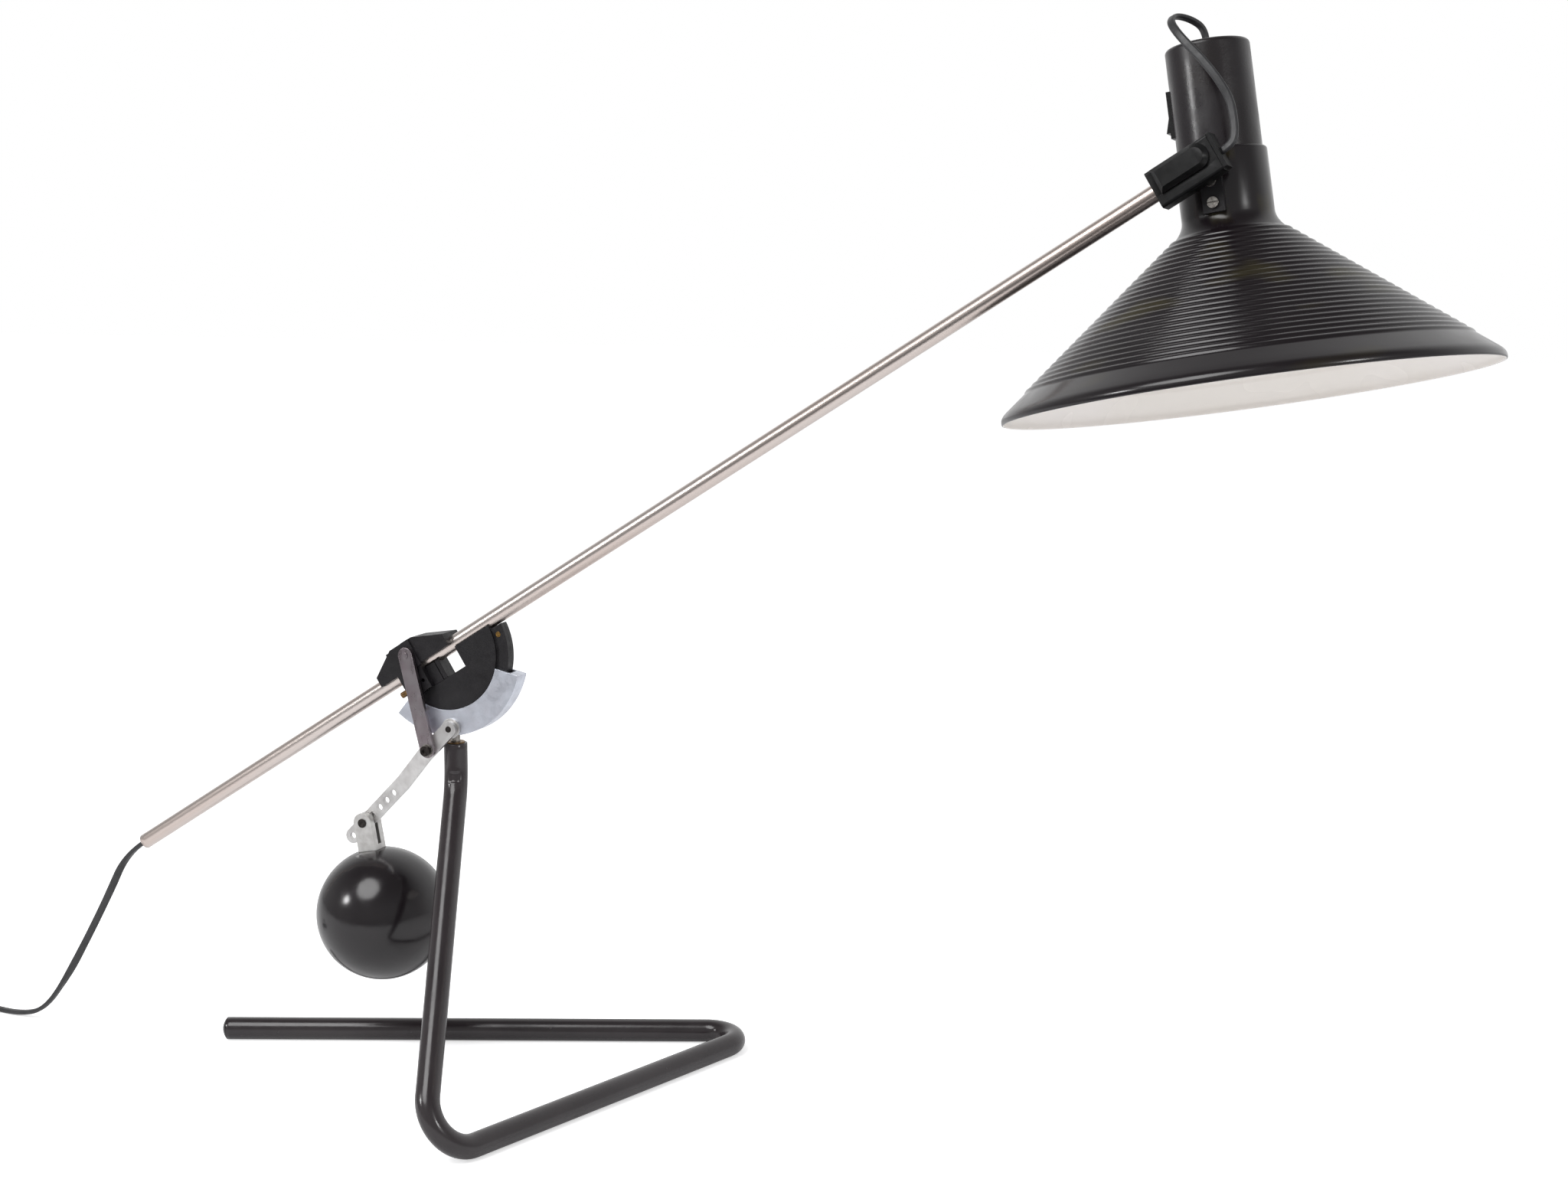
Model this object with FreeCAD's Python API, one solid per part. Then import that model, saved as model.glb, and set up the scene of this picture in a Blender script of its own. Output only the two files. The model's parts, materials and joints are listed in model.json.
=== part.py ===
import FreeCAD
import Part
import math
import os

# Counterweight balance desk lamp, millimetres and degrees, +Z up.
# The arm swings in the XZ plane, with the shade towards +X and the viewer on the -Y side.
# Three nested frames are used: the room (swivel axis on Z until the last shift), the arm
# (X along the arm tube, origin at the centre of the sector disc) and the head
# (Z up the shade's axis, origin level with the head hinge).

V = FreeCAD.Vector
X_AXIS = V(1, 0, 0)
Y_AXIS = V(0, 1, 0)
Z_AXIS = V(0, 0, 1)

# ---- fits -------------------------------------------------------------------------------
running_gap = 0.05          # radial, between a pin and the hole that turns on it
seat_gap = 0.02             # radial, between a piece and the bore it is fixed in
slide_gap = 0.3             # between faces that pass each other

# ---- bent tube stand --------------------------------------------------------------------
stand_tube_d = 15.0
stand_tube_wall = 1.5
rear_leg_end = (-189.0, 14.3)     # plan position of the left end of the rear leg
rear_corner = (154.1, 144.5)      # plan position of the right corner
front_corner = (61.8, -160.6)     # plan position of the front corner, under the upright
rear_bend_r = 20.0
front_bend_r = 32.0
top_bend_r = 32.0
stand_height = 223.5              # top of the upright
upright_straight = 26.5           # upright part, from the bend's corner to the top
dimple_size = 6.0
dimple_depth = 1.0
dimple_below_top = 21.0
end_plug_shank = 14.0
end_plug_dome = 3.0

# ---- swivel -----------------------------------------------------------------------------
bush_length = 14.0
bush_floor = 2.0
bush_proud = 0.8
swivel_pin_d = 6.0

# ---- cradle -----------------------------------------------------------------------------
disc_centre_x = -3.8
disc_above_stand = 58.8
cradle_r_in = 37.0
cradle_r_out = 53.5
cradle_a0 = -129.4
cradle_a1 = -12.7
plate_thick = 2.0
groove_width = 8.0
cradle_pin_d = 3.0
cradle_pin_blind = 0.6      # under the plates' outer faces
cradle_pin_angles = (-122.0, -62.0, -20.0)
rivet_head = 0.5

# ---- sector disc ------------------------------------------------------------------------
flange_r = 44.6
flange_gap = 0.2            # each side of the flange in the groove
disc_half_width = 5.6
disc_top_z = -0.4
flange_top_z = -3.4
flange_top_x = 33.5
notch_wall_x = 8.5
notch_floor_z = -14.6
disc_rivet_d = 3.4
disc_rivets_xz = ((39.0, -8.6), (-35.0, -22.0))

# ---- arm --------------------------------------------------------------------------------
arm_rise = 32.09            # angle of the arm above the horizontal
arm_roll = 6.0              # how far the tube is turned in its clamp, shade towards -Y
arm_tube_d = 10.0
arm_tube_wall = 1.0
arm_axis_up = 2.2           # tube axis above the disc centre
arm_low_end = -277.7
tube_short_of_hinge = 4.0

# ---- carriage on the arm ----------------------------------------------------------------
carriage_half_width = 9.6
carriage_left = -50.3
carriage_right = 7.2
carriage_top = 19.2
carriage_ridge_left = -32.2
carriage_ridge_right = -13.9
carriage_left_edge = 9.0
carriage_right_edge = 10.1
column_left = -36.1
column_right = -17.6
rib_left = -22.4
rib_right = -16.0
rib_proud = 1.0
jaw_split = -9.6
jaw_right = -6.4
jaw_gap = 0.4
jaw_half_width = 5.6
balance_screw_d = 4.0
balance_screw_z = -8.2
balance_screw_left = -45.6
set_hole_d = 2.6
set_hole_x = -21.2
set_hole_depth = 4.0

# ---- lever, link and counterweight ------------------------------------------------------
lever_pivot_x = 0.9
lever_pivot_above_stand = 10.4
lever_drop = 45.2           # angle of the lever below the horizontal
lever_width = 10.0
lever_thick = 3.0
lever_stand_off = 2.0       # washer between the cradle and the lever
lever_washer_r = 6.4
lever_pin_d = 4.0
lever_joggle_start = 26.0
lever_joggle_end = 56.0
lever_hole_first = 66.3
lever_hole_pitch = 7.3
lever_hole_count = 7
lever_hole_d = 4.4
clevis_hole_number = 4      # counted from 0
link_on_lever = 19.8        # link screw from the lever pivot
link_from_disc = (-23.7, -2.3)    # upper rivet from the disc's centre
link_width = 10.0
link_thick = 3.0
link_gap = 0.1
link_pin_d = 4.0
link_boss_r = 4.0
link_screw_head_r = 3.3
link_screw_head = 2.4
link_socket_r = 1.6
link_washer_r = 4.2
link_washer = 0.6
clevis_size = 13.0
clevis_above_pin = 6.5
clevis_slot_gap = 0.25
clevis_web_top = 15.2       # below the pin
clevis_web_left = -2.0
clevis_pin_d = 4.2
clevis_pin_head_r = 2.9
clevis_pin_head = 0.8
ball_d = 86.4
ball_below_pin = 61.1
ball_tilt = 9.9             # from plumb, held by friction
stud_d = 8.0
stud_in_ball = 24.0
stud_sunk = 3.2             # its top under the clevis web's, clear of the lever

# ---- holder at the arm's upper end ------------------------------------------------------
hinge_on_arm = 564.0
holder_to_left = 30.8       # from the hinge
holder_to_right = 8.6
holder_half_width = 6.5
holder_top = 13.6
holder_bottom = -8.6
holder_split = -1.6
holder_edge_r = 1.6
end_plate = 2.6
end_plate_inset = 1.0
boss_inset_left = 3.8       # from the holder's ends
boss_inset_right = 2.6
boss_top = 13.0
boss_bottom = -2.0
boss_proud = 4.0
boss_chamfer = 2.6
hinge_washer = 2.2
hinge_washer_r = 6.0
hinge_pin_d = 5.0

# ---- head -------------------------------------------------------------------------------
head_lean = 22.1            # shade axis from the square to the arm
cap_above_hinge = 70.2
cup_r = 23.7
cup_wall = 0.8
cup_length = 95.0
cup_corner_r = 2.5
cord_hole_r = 5.2
collar_r = 26.0
collar_top = 57.0           # below the cap
collar_bottom = 97.0
collar_lip_r = 2.0
sheet = 0.8
cone_start_r = 31.0
cone_start = 106.9
rim_r = 140.0
rim = 197.4                 # below the cap
corner_in = 2.4             # the cone's end from the rim
corner_up = 6.2
plain_band = 12.5           # radius from the ribs' end to the cone's end
skirt = 2.4                 # upright edge of the rim
rim_corner = 0.7
rib_count = 24
rib_depth = 0.8
rib_crest = 0.7             # place of the crest on each rib
bracket_width = 12.4
bracket_thick = 3.0
bracket_top = 60.0
bracket_bottom = 97.0
bracket_screw_first = 79.7
bracket_screw_pitch = 12.0
bracket_screw_d = 3.5
bracket_screw_head_r = 3.2
bracket_screw_head = 1.6
bracket_screw_slot = 0.8
bracket_screw_reach = 5.0
bracket_root = 2.0          # solid of the plate behind the collar's crown
grommet_r = 6.0
grommet_dome = 3.2
grommet_bore_r = 2.4

# ---- lampholder -------------------------------------------------------------------------
nipple_d = 10.0
nipple_bore_d = 7.0
nipple_nut_r = 8.0
nipple_nut = 3.0
lampholder_top = 53.0
lampholder_shoulder = 62.0
lampholder_bottom = 108.0
lampholder_neck_r = 15.0
lampholder_r = 19.5
lamp_bore_r = 13.3
lamp_bore_length = 28.0
lamp_shell_inset = 1.0
shell_wall = 0.5
contact_r = 4.0
contact_thick = 1.0
contact_clear = 1.0         # between the lamp's seat and the contact

# ---- rocker switch ----------------------------------------------------------------------
switch_centre = 35.8        # below the cap
bezel_length = 26.6
bezel_width = 14.0
bezel_proud = 1.2
switch_body_length = 23.0
switch_body_width = 11.6
switch_body_depth = 13.0
rocker_length = 20.0
rocker_width = 8.6
rocker_gap = 0.4
rocker_throw = 8.0          # each way from level
rocker_waist = 1.6
rocker_tip = 2.8
rocker_root = 3.0
rocker_corner = 1.0
rocker_trunnion_r = 0.8
rocker_trunnion = 0.8       # reach into each side wall
switch_back_skin = 2.0      # bezel solid behind the cup's surface

# ---- cord -------------------------------------------------------------------------------
cord_d = 5.0
cord_turn_gap = 0.5
cord_lead = 18.5            # straight out of the arm's lower end
# From the lead's end: how far to the left, share of its height, and to the side.
cord_fall = ((15.6, 0.765, -0.3), (35.1, 0.505, 0.2), (54.1, 0.260, -0.4), (75.1, 0.067, 0.8))
cord_on_floor = (98.1, 2.6)
cord_to_coil = 128.1
coil_from_lead = (-158.1, -33.0)
coil_mean_r = 28.5
coil_turns = 4              # in each of two layers
floor_gap = 0.1             # under the cord and the plug
tie_width = 8.0
tie_thick = 0.8
tie_gap = 0.2               # between the tie and the turns
plug_length = 34.0
plug_width = 26.0
plug_height = 13.0
plug_nose_length = 10.0
plug_pin_d = 4.0
plug_pin_length = 19.0
plug_pin_pitch = 18.6
plug_heading = 32.0
plug_place = (100.0, 20.0)  # from the coil's exit, along it and to its side
plug_edge_r = 1.5
plug_taper = 0.45           # share of the length that widens
plug_back_share = 0.62      # width at the nose over full width
plug_nose_wall = 0.6
plug_tail = 16.0            # straight cord behind the nose

# ---- values worked out from the sizes above ---------------------------------------------
disc_centre_z = stand_height + disc_above_stand
lever_pivot_z = stand_height + lever_pivot_above_stand
arm_high_end = hinge_on_arm - tube_short_of_hinge
holder_left = hinge_on_arm - holder_to_left
holder_right = hinge_on_arm + holder_to_right
boss_left = holder_left + boss_inset_left
boss_right = holder_right - boss_inset_right
stand_r = stand_tube_d / 2
stand_bore_r = stand_r - stand_tube_wall
groove_half = groove_width / 2
plate_outer = groove_half + plate_thick
disc_r = cradle_r_in - slide_gap
screw_end_r = math.hypot(balance_screw_left, abs(balance_screw_z) + balance_screw_d / 2)
spacer_r_in = screw_end_r + 2 * slide_gap
cone_end_r = rim_r - corner_in
cone_end = rim - corner_up
rib_end_r = cone_end_r - plain_band
column_foot_z = -math.sqrt(disc_r ** 2 - column_left ** 2)
arm_r = arm_tube_d / 2
arm_bore_r = arm_r - arm_tube_wall
cord_r = cord_d / 2
lever_back = -plate_outer - lever_stand_off
lever_front = lever_back - lever_thick
link_back = lever_front - link_gap
link_front = link_back - link_thick
hinge_plane = holder_half_width + hinge_washer
head_offset = hinge_plane + bracket_thick + collar_r
disc_centre = V(disc_centre_x, 0, disc_centre_z)
lever_pivot = V(lever_pivot_x, 0, lever_pivot_z)
drop = math.radians(lever_drop)
lever_dir = V(-math.cos(drop), 0, -math.sin(drop))
clevis_on_lever = lever_hole_first + clevis_hole_number * lever_hole_pitch
clevis_point = lever_pivot + lever_dir * clevis_on_lever
link_low = lever_pivot + lever_dir * link_on_lever
link_high = disc_centre + V(link_from_disc[0], 0, link_from_disc[1])


def turn(axis, angle, centre=V(0, 0, 0)):
    """Placement that turns about an axis through a point."""
    return FreeCAD.Placement(V(0, 0, 0), FreeCAD.Rotation(axis, angle), centre)


def shift(vector):
    """Placement that only moves."""
    return FreeCAD.Placement(vector, FreeCAD.Rotation())


# The arm frame in the room, the same frame with the tube turned in its clamp, and the head.
ARM = shift(disc_centre) * turn(Y_AXIS, -arm_rise)
ROLLED = ARM * turn(X_AXIS, -arm_roll, V(0, 0, arm_axis_up))
HEAD = ROLLED * shift(V(hinge_on_arm, head_offset, arm_axis_up)) * turn(Y_AXIS, head_lean)
CLEVIS = shift(clevis_point) * turn(Y_AXIS, -ball_tilt)


def placed(shape, frame):
    """Copy of a shape, carried from its own frame into the room."""
    moved = shape.copy()
    moved.transformShape(frame.toMatrix())
    return moved


def rod(start, axis, radius, length):
    """Round bar from a point along an axis."""
    return Part.makeCylinder(radius, length, start, axis)


def block(x0, x1, y0, y1, z0, z1):
    """Square block between two corners."""
    return Part.makeBox(x1 - x0, y1 - y0, z1 - z0, V(x0, y0, z0))


def prism(outline, y0, y1):
    """Plate with a straight-sided outline in XZ, from y0 to y1."""
    points = [V(x, y0, z) for x, z in outline]
    wire = Part.makePolygon(points + points[:1])
    return Part.Face(wire).extrude(V(0, y1 - y0, 0))


def polar(radius, angle, y=0.0):
    """Point in XZ at a radius and an angle from +X towards +Z."""
    a = math.radians(angle)
    return V(radius * math.cos(a), y, radius * math.sin(a))


def ring_sector(r_in, r_out, a0, a1, y0, y1):
    """Part of a flat ring about the origin, in XZ."""
    mid = (a0 + a1) / 2
    outer = Part.Arc(polar(r_out, a0, y0), polar(r_out, mid, y0), polar(r_out, a1, y0)).toShape()
    inner = Part.Arc(polar(r_in, a1, y0), polar(r_in, mid, y0), polar(r_in, a0, y0)).toShape()
    side_1 = Part.makeLine(polar(r_out, a1, y0), polar(r_in, a1, y0))
    side_0 = Part.makeLine(polar(r_in, a0, y0), polar(r_out, a0, y0))
    wire = Part.Wire([outer, side_1, inner, side_0])
    return Part.Face(wire).extrude(V(0, y1 - y0, 0))


def strap(p, q, half_width, y0, y1):
    """Flat bar with round ends about two points in XZ."""
    along = (q - p).normalize()
    side = V(-along.z, 0, along.x) * half_width
    a = V(p.x, y0, p.z)
    b = V(q.x, y0, q.z)
    edges = [
        Part.makeLine(a + side, b + side),
        Part.Arc(b + side, b + along * half_width, b - side).toShape(),
        Part.makeLine(b - side, a - side),
        Part.Arc(a - side, a - along * half_width, a + side).toShape(),
    ]
    return Part.Face(Part.Wire(edges)).extrude(V(0, y1 - y0, 0))


def turned(edges):
    """Solid turned about Z from a closed wire in XZ."""
    return Part.Face(Part.Wire(edges)).revolve(V(0, 0, 0), Z_AXIS, 360)


def outline_edges(points):
    """Straight edges round a closed list of (radius, height) points."""
    corners = [V(r, 0, z) for r, z in points]
    pairs = zip(corners, corners[1:] + corners[:1])
    return [Part.makeLine(a, b) for a, b in pairs]


def bent_path(points, radii):
    """Straight runs joined by tangent arcs of the given radii."""
    edges = []
    at = points[0]
    for before, corner, after, radius in zip(points, points[1:], points[2:], radii):
        into = (corner - before).normalize()
        out = (after - corner).normalize()
        half = into.getAngle(out) / 2
        back = radius * math.tan(half)
        first = corner - into * back
        last = corner + out * back
        inward = (out - into).normalize()
        middle = corner + inward * (radius / math.cos(half) - radius)
        edges.append(Part.LineSegment(at, first).toShape())
        edges.append(Part.Arc(first, middle, last).toShape())
        at = last
    edges.append(Part.LineSegment(at, points[-1]).toShape())
    return Part.Wire(edges)


def tube_along(path, radius):
    """Round bar swept along a path."""
    first = path.OrderedEdges[0]
    start = first.valueAt(first.FirstParameter)
    heading = first.tangentAt(first.FirstParameter)
    ring = Part.Wire([Part.makeCircle(radius, start, heading)])
    return path.makePipeShell([ring], True, False)


def easy_radii(points):
    """Arc radii that use 0.45 of the shorter run at each corner of a cord's route."""
    radii = []
    for before, corner, after in zip(points, points[1:], points[2:]):
        into = corner - before
        out = after - corner
        half = into.getAngle(out) / 2
        radii.append(0.45 * min(into.Length, out.Length) / math.tan(half))
    return radii


# ---- stand ------------------------------------------------------------------------------
def stand_points():
    """Centre line of the bent tube, from the rear leg's end to the top of the upright."""
    return [
        V(rear_leg_end[0], rear_leg_end[1], stand_r),
        V(rear_corner[0], rear_corner[1], stand_r),
        V(front_corner[0], front_corner[1], stand_r),
        V(0, 0, stand_height - upright_straight),
        V(0, 0, stand_height),
    ]


def base_tube():
    """Bent steel tube: rear leg, front leg and leaning upright in one length."""
    path = bent_path(stand_points(), (rear_bend_r, front_bend_r, top_bend_r))
    tube = tube_along(path, stand_r).cut(tube_along(path, stand_bore_r))
    lean = math.degrees(math.atan2(front_corner[1], front_corner[0]))
    half = dimple_size / 2
    dent = block(stand_r - dimple_depth, stand_r + 1, -half, half, -half, half)
    dent = placed(dent, shift(V(0, 0, stand_height - dimple_below_top)) * turn(Z_AXIS, lean))
    return tube.cut(dent)


def end_plug():
    """Domed plug in the open end of the rear leg, along +X until it is placed."""
    shank = rod(V(0, 0, 0), X_AXIS, stand_bore_r - seat_gap, end_plug_shank)
    sphere_r = (stand_r ** 2 + end_plug_dome ** 2) / (2 * end_plug_dome)
    dome = Part.makeSphere(sphere_r, V(sphere_r - end_plug_dome, 0, 0))
    dome = dome.common(rod(V(-end_plug_dome - 1, 0, 0), X_AXIS, stand_r, end_plug_dome + 1))
    points = stand_points()
    heading = points[1] - points[0]
    angle = math.degrees(math.atan2(heading.y, heading.x))
    return placed(shank.fuse(dome), shift(points[0]) * turn(Z_AXIS, angle))


def pivot_bush():
    """Bush in the top of the upright, bored for the swivel pin."""
    top = stand_height + bush_proud
    bush = rod(V(0, 0, stand_height - bush_length), Z_AXIS, stand_bore_r - seat_gap,
               bush_length + bush_proud)
    floor = stand_height - bush_length + bush_floor
    bore = rod(V(0, 0, floor), Z_AXIS, swivel_pin_d / 2 + running_gap, top - floor + 1)
    return bush.cut(bore)


# ---- cradle -----------------------------------------------------------------------------
def swivel_pin():
    """Pin that stands in the bush and carries the cradle."""
    low = stand_height - bush_length + bush_floor + slide_gap
    high = disc_centre_z - spacer_r_in - slide_gap
    return rod(V(0, 0, low), Z_AXIS, swivel_pin_d / 2, high - low)


def cradle_plate(y0, y1):
    """One of the two arc plates that hold the disc between them."""
    plate = ring_sector(cradle_r_in, cradle_r_out, cradle_a0, cradle_a1, y0, y1)
    for angle in cradle_pin_angles:
        plate = plate.cut(cradle_pin(angle))
    return placed(plate, shift(disc_centre))


def cradle_pin(angle):
    """Blind pin from plate to plate through the spacer, in the disc centre's frame."""
    middle = (spacer_r_in + cradle_r_out) / 2
    reach = plate_outer - cradle_pin_blind
    return rod(polar(middle, angle, -reach), Y_AXIS, cradle_pin_d / 2, 2 * reach)


def cradle_front_plate():
    """Front arc plate, drilled for the lever's pivot pin."""
    plate = cradle_plate(-plate_outer, -groove_half)
    hole = rod(lever_pivot - Y_AXIS * (plate_outer + 1), Y_AXIS, lever_pin_d / 2, plate_thick + 2)
    return plate.cut(hole)


def cradle_back_plate():
    """Back arc plate."""
    return cradle_plate(groove_half, plate_outer)


def cradle_spacer():
    """Arc bar between the plates, under the disc's flange, bored for the swivel pin."""
    spacer = ring_sector(spacer_r_in, cradle_r_out, cradle_a0, cradle_a1,
                         -groove_half, groove_half)
    for angle in cradle_pin_angles:
        spacer = spacer.cut(cradle_pin(angle))
    spacer = placed(spacer, shift(disc_centre))
    return spacer.cut(swivel_pin())


def cradle_pins():
    """The pressed pins that hold the cradle together."""
    pins = [cradle_pin(angle) for angle in cradle_pin_angles]
    return placed(Part.Compound(pins), shift(disc_centre))


def lever_pivot_pin():
    """Pin that the lever swings on, set in the front plate."""
    start = lever_pivot + Y_AXIS * (lever_front - link_gap)
    reach = -groove_half - (lever_front - link_gap)
    return rod(start, Y_AXIS, lever_pin_d / 2, reach)


def pivot_washer():
    """Washer between the front plate and the lever."""
    start = lever_pivot + Y_AXIS * (-plate_outer - lever_stand_off + slide_gap / 3)
    thick = lever_stand_off - slide_gap / 3
    washer = rod(start, Y_AXIS, lever_washer_r, thick)
    return washer.cut(rod(start, Y_AXIS, lever_pin_d / 2 + seat_gap, thick))


# ---- sector disc on the arm -------------------------------------------------------------
def disc_half(front):
    """One half of the moulded disc: a cheek that fills the cradle's arc and half a flange."""
    big = 2 * flange_r
    edge = groove_half - flange_gap
    side = -1 if front else 1
    cheek = rod(V(0, 0, 0), Y_AXIS * side, disc_r, disc_half_width)
    flange = rod(V(0, 0, 0), Y_AXIS * side, flange_r, edge)
    low = block(-big, big, -big, big, -big, notch_floor_z)
    right = block(notch_wall_x, big, -big, big, -big, disc_top_z)
    right_flange = block(notch_wall_x, big, -big, big, -big, flange_top_z)
    flange_top = block(notch_wall_x, flange_top_x, -big, big, -big, disc_top_z)
    cheek = cheek.common(low.fuse(right))
    flange = flange.common(low.fuse(right_flange).fuse(flange_top))
    half = cheek.fuse(flange).removeSplitter()
    half = half.cut(arm_bar(seat_gap))
    for x, z in disc_rivets_xz:
        half = half.cut(rod(V(x, -big, z), Y_AXIS, disc_rivet_d / 2, 2 * big))
    return placed(half, ARM)


def arm_bar(extra):
    """Solid bar as long as the arm, in the arm frame, that much larger than the tube."""
    length = arm_high_end - arm_low_end
    return rod(V(arm_low_end, 0, arm_axis_up), X_AXIS, arm_r + extra, length)


def disc_rivets():
    """Brass rivets through both halves of the disc."""
    reach = groove_half - flange_gap + flange_gap / 2
    rivets = [rod(V(x, -reach, z), Y_AXIS, disc_rivet_d / 2, 2 * reach) for x, z in disc_rivets_xz]
    return placed(Part.Compound(rivets), ARM)


# ---- arm --------------------------------------------------------------------------------
def arm_tube():
    """Straight tube from its open lower end into the holder."""
    length = arm_high_end - arm_low_end
    bore = rod(V(arm_low_end, 0, arm_axis_up), X_AXIS, arm_bore_r, length)
    return placed(arm_bar(0).cut(bore), ROLLED)


def balance_screw_bar(extra):
    """Bar where the balance screw runs, in the arm frame."""
    length = jaw_right - balance_screw_left - 1
    return rod(V(balance_screw_left, 0, balance_screw_z), X_AXIS, balance_screw_d / 2 + extra, length)


def carriage():
    """Moulded saddle over the tube with a column down to the disc."""
    y = carriage_half_width
    saddle = prism([
        (carriage_left, arm_axis_up), (carriage_left, carriage_left_edge),
        (carriage_ridge_left, carriage_top), (carriage_ridge_right, carriage_top),
        (carriage_right, carriage_right_edge), (carriage_right, arm_axis_up)], -y, y)
    foot = block(column_left, column_right, -y, y, notch_floor_z + slide_gap / 3, column_foot_z)
    foot = foot.common(rod(V(0, -y, 0), Y_AXIS, disc_r, 2 * y))
    column = block(column_left, column_right, -y, y, column_foot_z, carriage_top - 1).fuse(foot)
    rib = block(rib_left, rib_right, -y - rib_proud, -y + 1, arm_axis_up - 1, carriage_top)
    body = saddle.fuse(column).fuse(rib).removeSplitter()
    hole = rod(V(set_hole_x, -y - 1, balance_screw_z), Y_AXIS, set_hole_d / 2, set_hole_depth + 1)
    body = body.cut(arm_bar(seat_gap)).cut(balance_screw_bar(seat_gap)).cut(hole)
    return placed(body, ARM).fuse(link_boss()).removeSplitter()


def jaw(x0, x1):
    """Clamping block under the tube, threaded on the balance screw."""
    y = jaw_half_width
    lump = block(x0, x1, -y, y, notch_floor_z + slide_gap / 3, arm_axis_up - arm_r + 1.5)
    return placed(lump.cut(arm_bar(seat_gap)).cut(balance_screw_bar(seat_gap)), ARM)


def balance_screw():
    """Screw parallel to the tube, through the column into the jaws."""
    return placed(balance_screw_bar(0), ARM)


# ---- lever, link and counterweight ------------------------------------------------------
def lever():
    """Flat bar, joggled from the front plane to the middle plane, with a row of holes."""
    half = lever_width / 2
    total = lever_hole_first + (lever_hole_count - 1) * lever_hole_pitch + half
    side_view = [
        (-half, lever_front), (lever_joggle_start, lever_front),
        (lever_joggle_end, -lever_thick / 2), (total, -lever_thick / 2),
        (total, lever_thick / 2), (lever_joggle_end, lever_thick / 2),
        (lever_joggle_start, lever_back), (-half, lever_back)]
    points = [V(x, y, -half) for x, y in side_view]
    bar = Part.Face(Part.makePolygon(points + points[:1])).extrude(V(0, 0, lever_width))
    ends = strap(V(0, 0, 0), V(total - half, 0, 0), half, lever_front - 1, lever_thick)
    bar = bar.common(ends)
    for i in range(lever_hole_count):
        x = lever_hole_first + i * lever_hole_pitch
        radius = lever_hole_d / 2
        bar = bar.cut(rod(V(x, -lever_thick, 0), Y_AXIS, radius, 2 * lever_thick))
    pivot_r = lever_pin_d / 2 + running_gap
    bar = bar.cut(rod(V(0, lever_front - 1, 0), Y_AXIS, pivot_r, lever_thick + 2))
    bar = bar.cut(rod(V(link_on_lever, lever_front - 1, 0), Y_AXIS, link_pin_d / 2, lever_thick + 2))
    return placed(bar, shift(lever_pivot) * turn(Y_AXIS, 180 - lever_drop))


def link_bar():
    """Flat link from the lever up to the carriage."""
    bar = strap(link_low, link_high, link_width / 2, link_front, link_back)
    low = rod(link_low + Y_AXIS * (link_front - 1), Y_AXIS, link_pin_d / 2 + running_gap, link_thick + 2)
    return bar.cut(low).cut(link_rivet())


def link_screw():
    """Socket-headed screw that the link's lower end turns on, threaded in the lever."""
    head_back = link_front - link_washer
    head_front = head_back - link_screw_head
    shank = rod(link_low + Y_AXIS * head_back, Y_AXIS, link_pin_d / 2, lever_back - head_back)
    head = rod(link_low + Y_AXIS * head_front, Y_AXIS, link_screw_head_r, link_screw_head)
    socket = rod(link_low + Y_AXIS * head_front, Y_AXIS, link_socket_r, link_screw_head / 2)
    return shank.fuse(head).cut(socket)


def link_washer_ring():
    """Washer under the link screw's head."""
    start = link_low + Y_AXIS * (link_front - link_washer)
    ring = rod(start, Y_AXIS, link_washer_r, link_washer - link_gap)
    return ring.cut(rod(start, Y_AXIS, link_pin_d / 2 + seat_gap, link_washer))


def link_boss():
    """Boss on the carriage that the link's upper end bears on."""
    start = link_high + Y_AXIS * (link_back + link_gap)
    return rod(start, Y_AXIS, link_boss_r, -carriage_half_width / 2 - link_back - link_gap)


def link_rivet():
    """Rivet in the link's upper end, nearly flush with its front."""
    start = link_high + Y_AXIS * (link_front - rivet_head)
    return rod(start, Y_AXIS, link_pin_d / 2, link_thick + rivet_head)


def clevis():
    """Forked block on the ball, hung on the lever."""
    half = clevis_size / 2
    low = -ball_below_pin + ball_seat_height()
    body = block(-half, half, -half, half, low, 0)
    crown = rod(V(0, -half, 0), Y_AXIS, half, clevis_size)
    crown = crown.common(block(-half, half, -half, half, -1, clevis_above_pin))
    body = body.fuse(crown).removeSplitter()
    slot = lever_thick / 2 + clevis_slot_gap
    body = body.cut(block(-half - 1, half + 1, -slot, slot, -clevis_web_top, clevis_above_pin + 1))
    body = body.cut(block(-half - 1, clevis_web_left, -slot, slot, low - 1, 0))
    body = body.cut(clevis_pin_bar(seat_gap))
    body = body.cut(stud_bar())
    return placed(body, CLEVIS)


def clevis_pin_bar(extra):
    """Bar through the clevis, in the clevis frame."""
    half = clevis_size / 2
    return rod(V(0, -half - extra, 0), Y_AXIS, clevis_pin_d / 2 + extra, clevis_size + 2 * extra)


def clevis_pin():
    """Pin through the clevis and one of the lever's holes, with a round head each side."""
    half = clevis_size / 2
    pin = clevis_pin_bar(0)
    front = rod(V(0, -half, 0), -Y_AXIS, clevis_pin_head_r, clevis_pin_head)
    back = rod(V(0, half, 0), Y_AXIS, clevis_pin_head_r, clevis_pin_head)
    return placed(pin.fuse(front).fuse(back), CLEVIS)


def ball_seat_height():
    """Height of the flat on top of the ball, above its centre."""
    corner = clevis_size * math.sqrt(0.5)
    return math.sqrt((ball_d / 2) ** 2 - corner ** 2)


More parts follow.
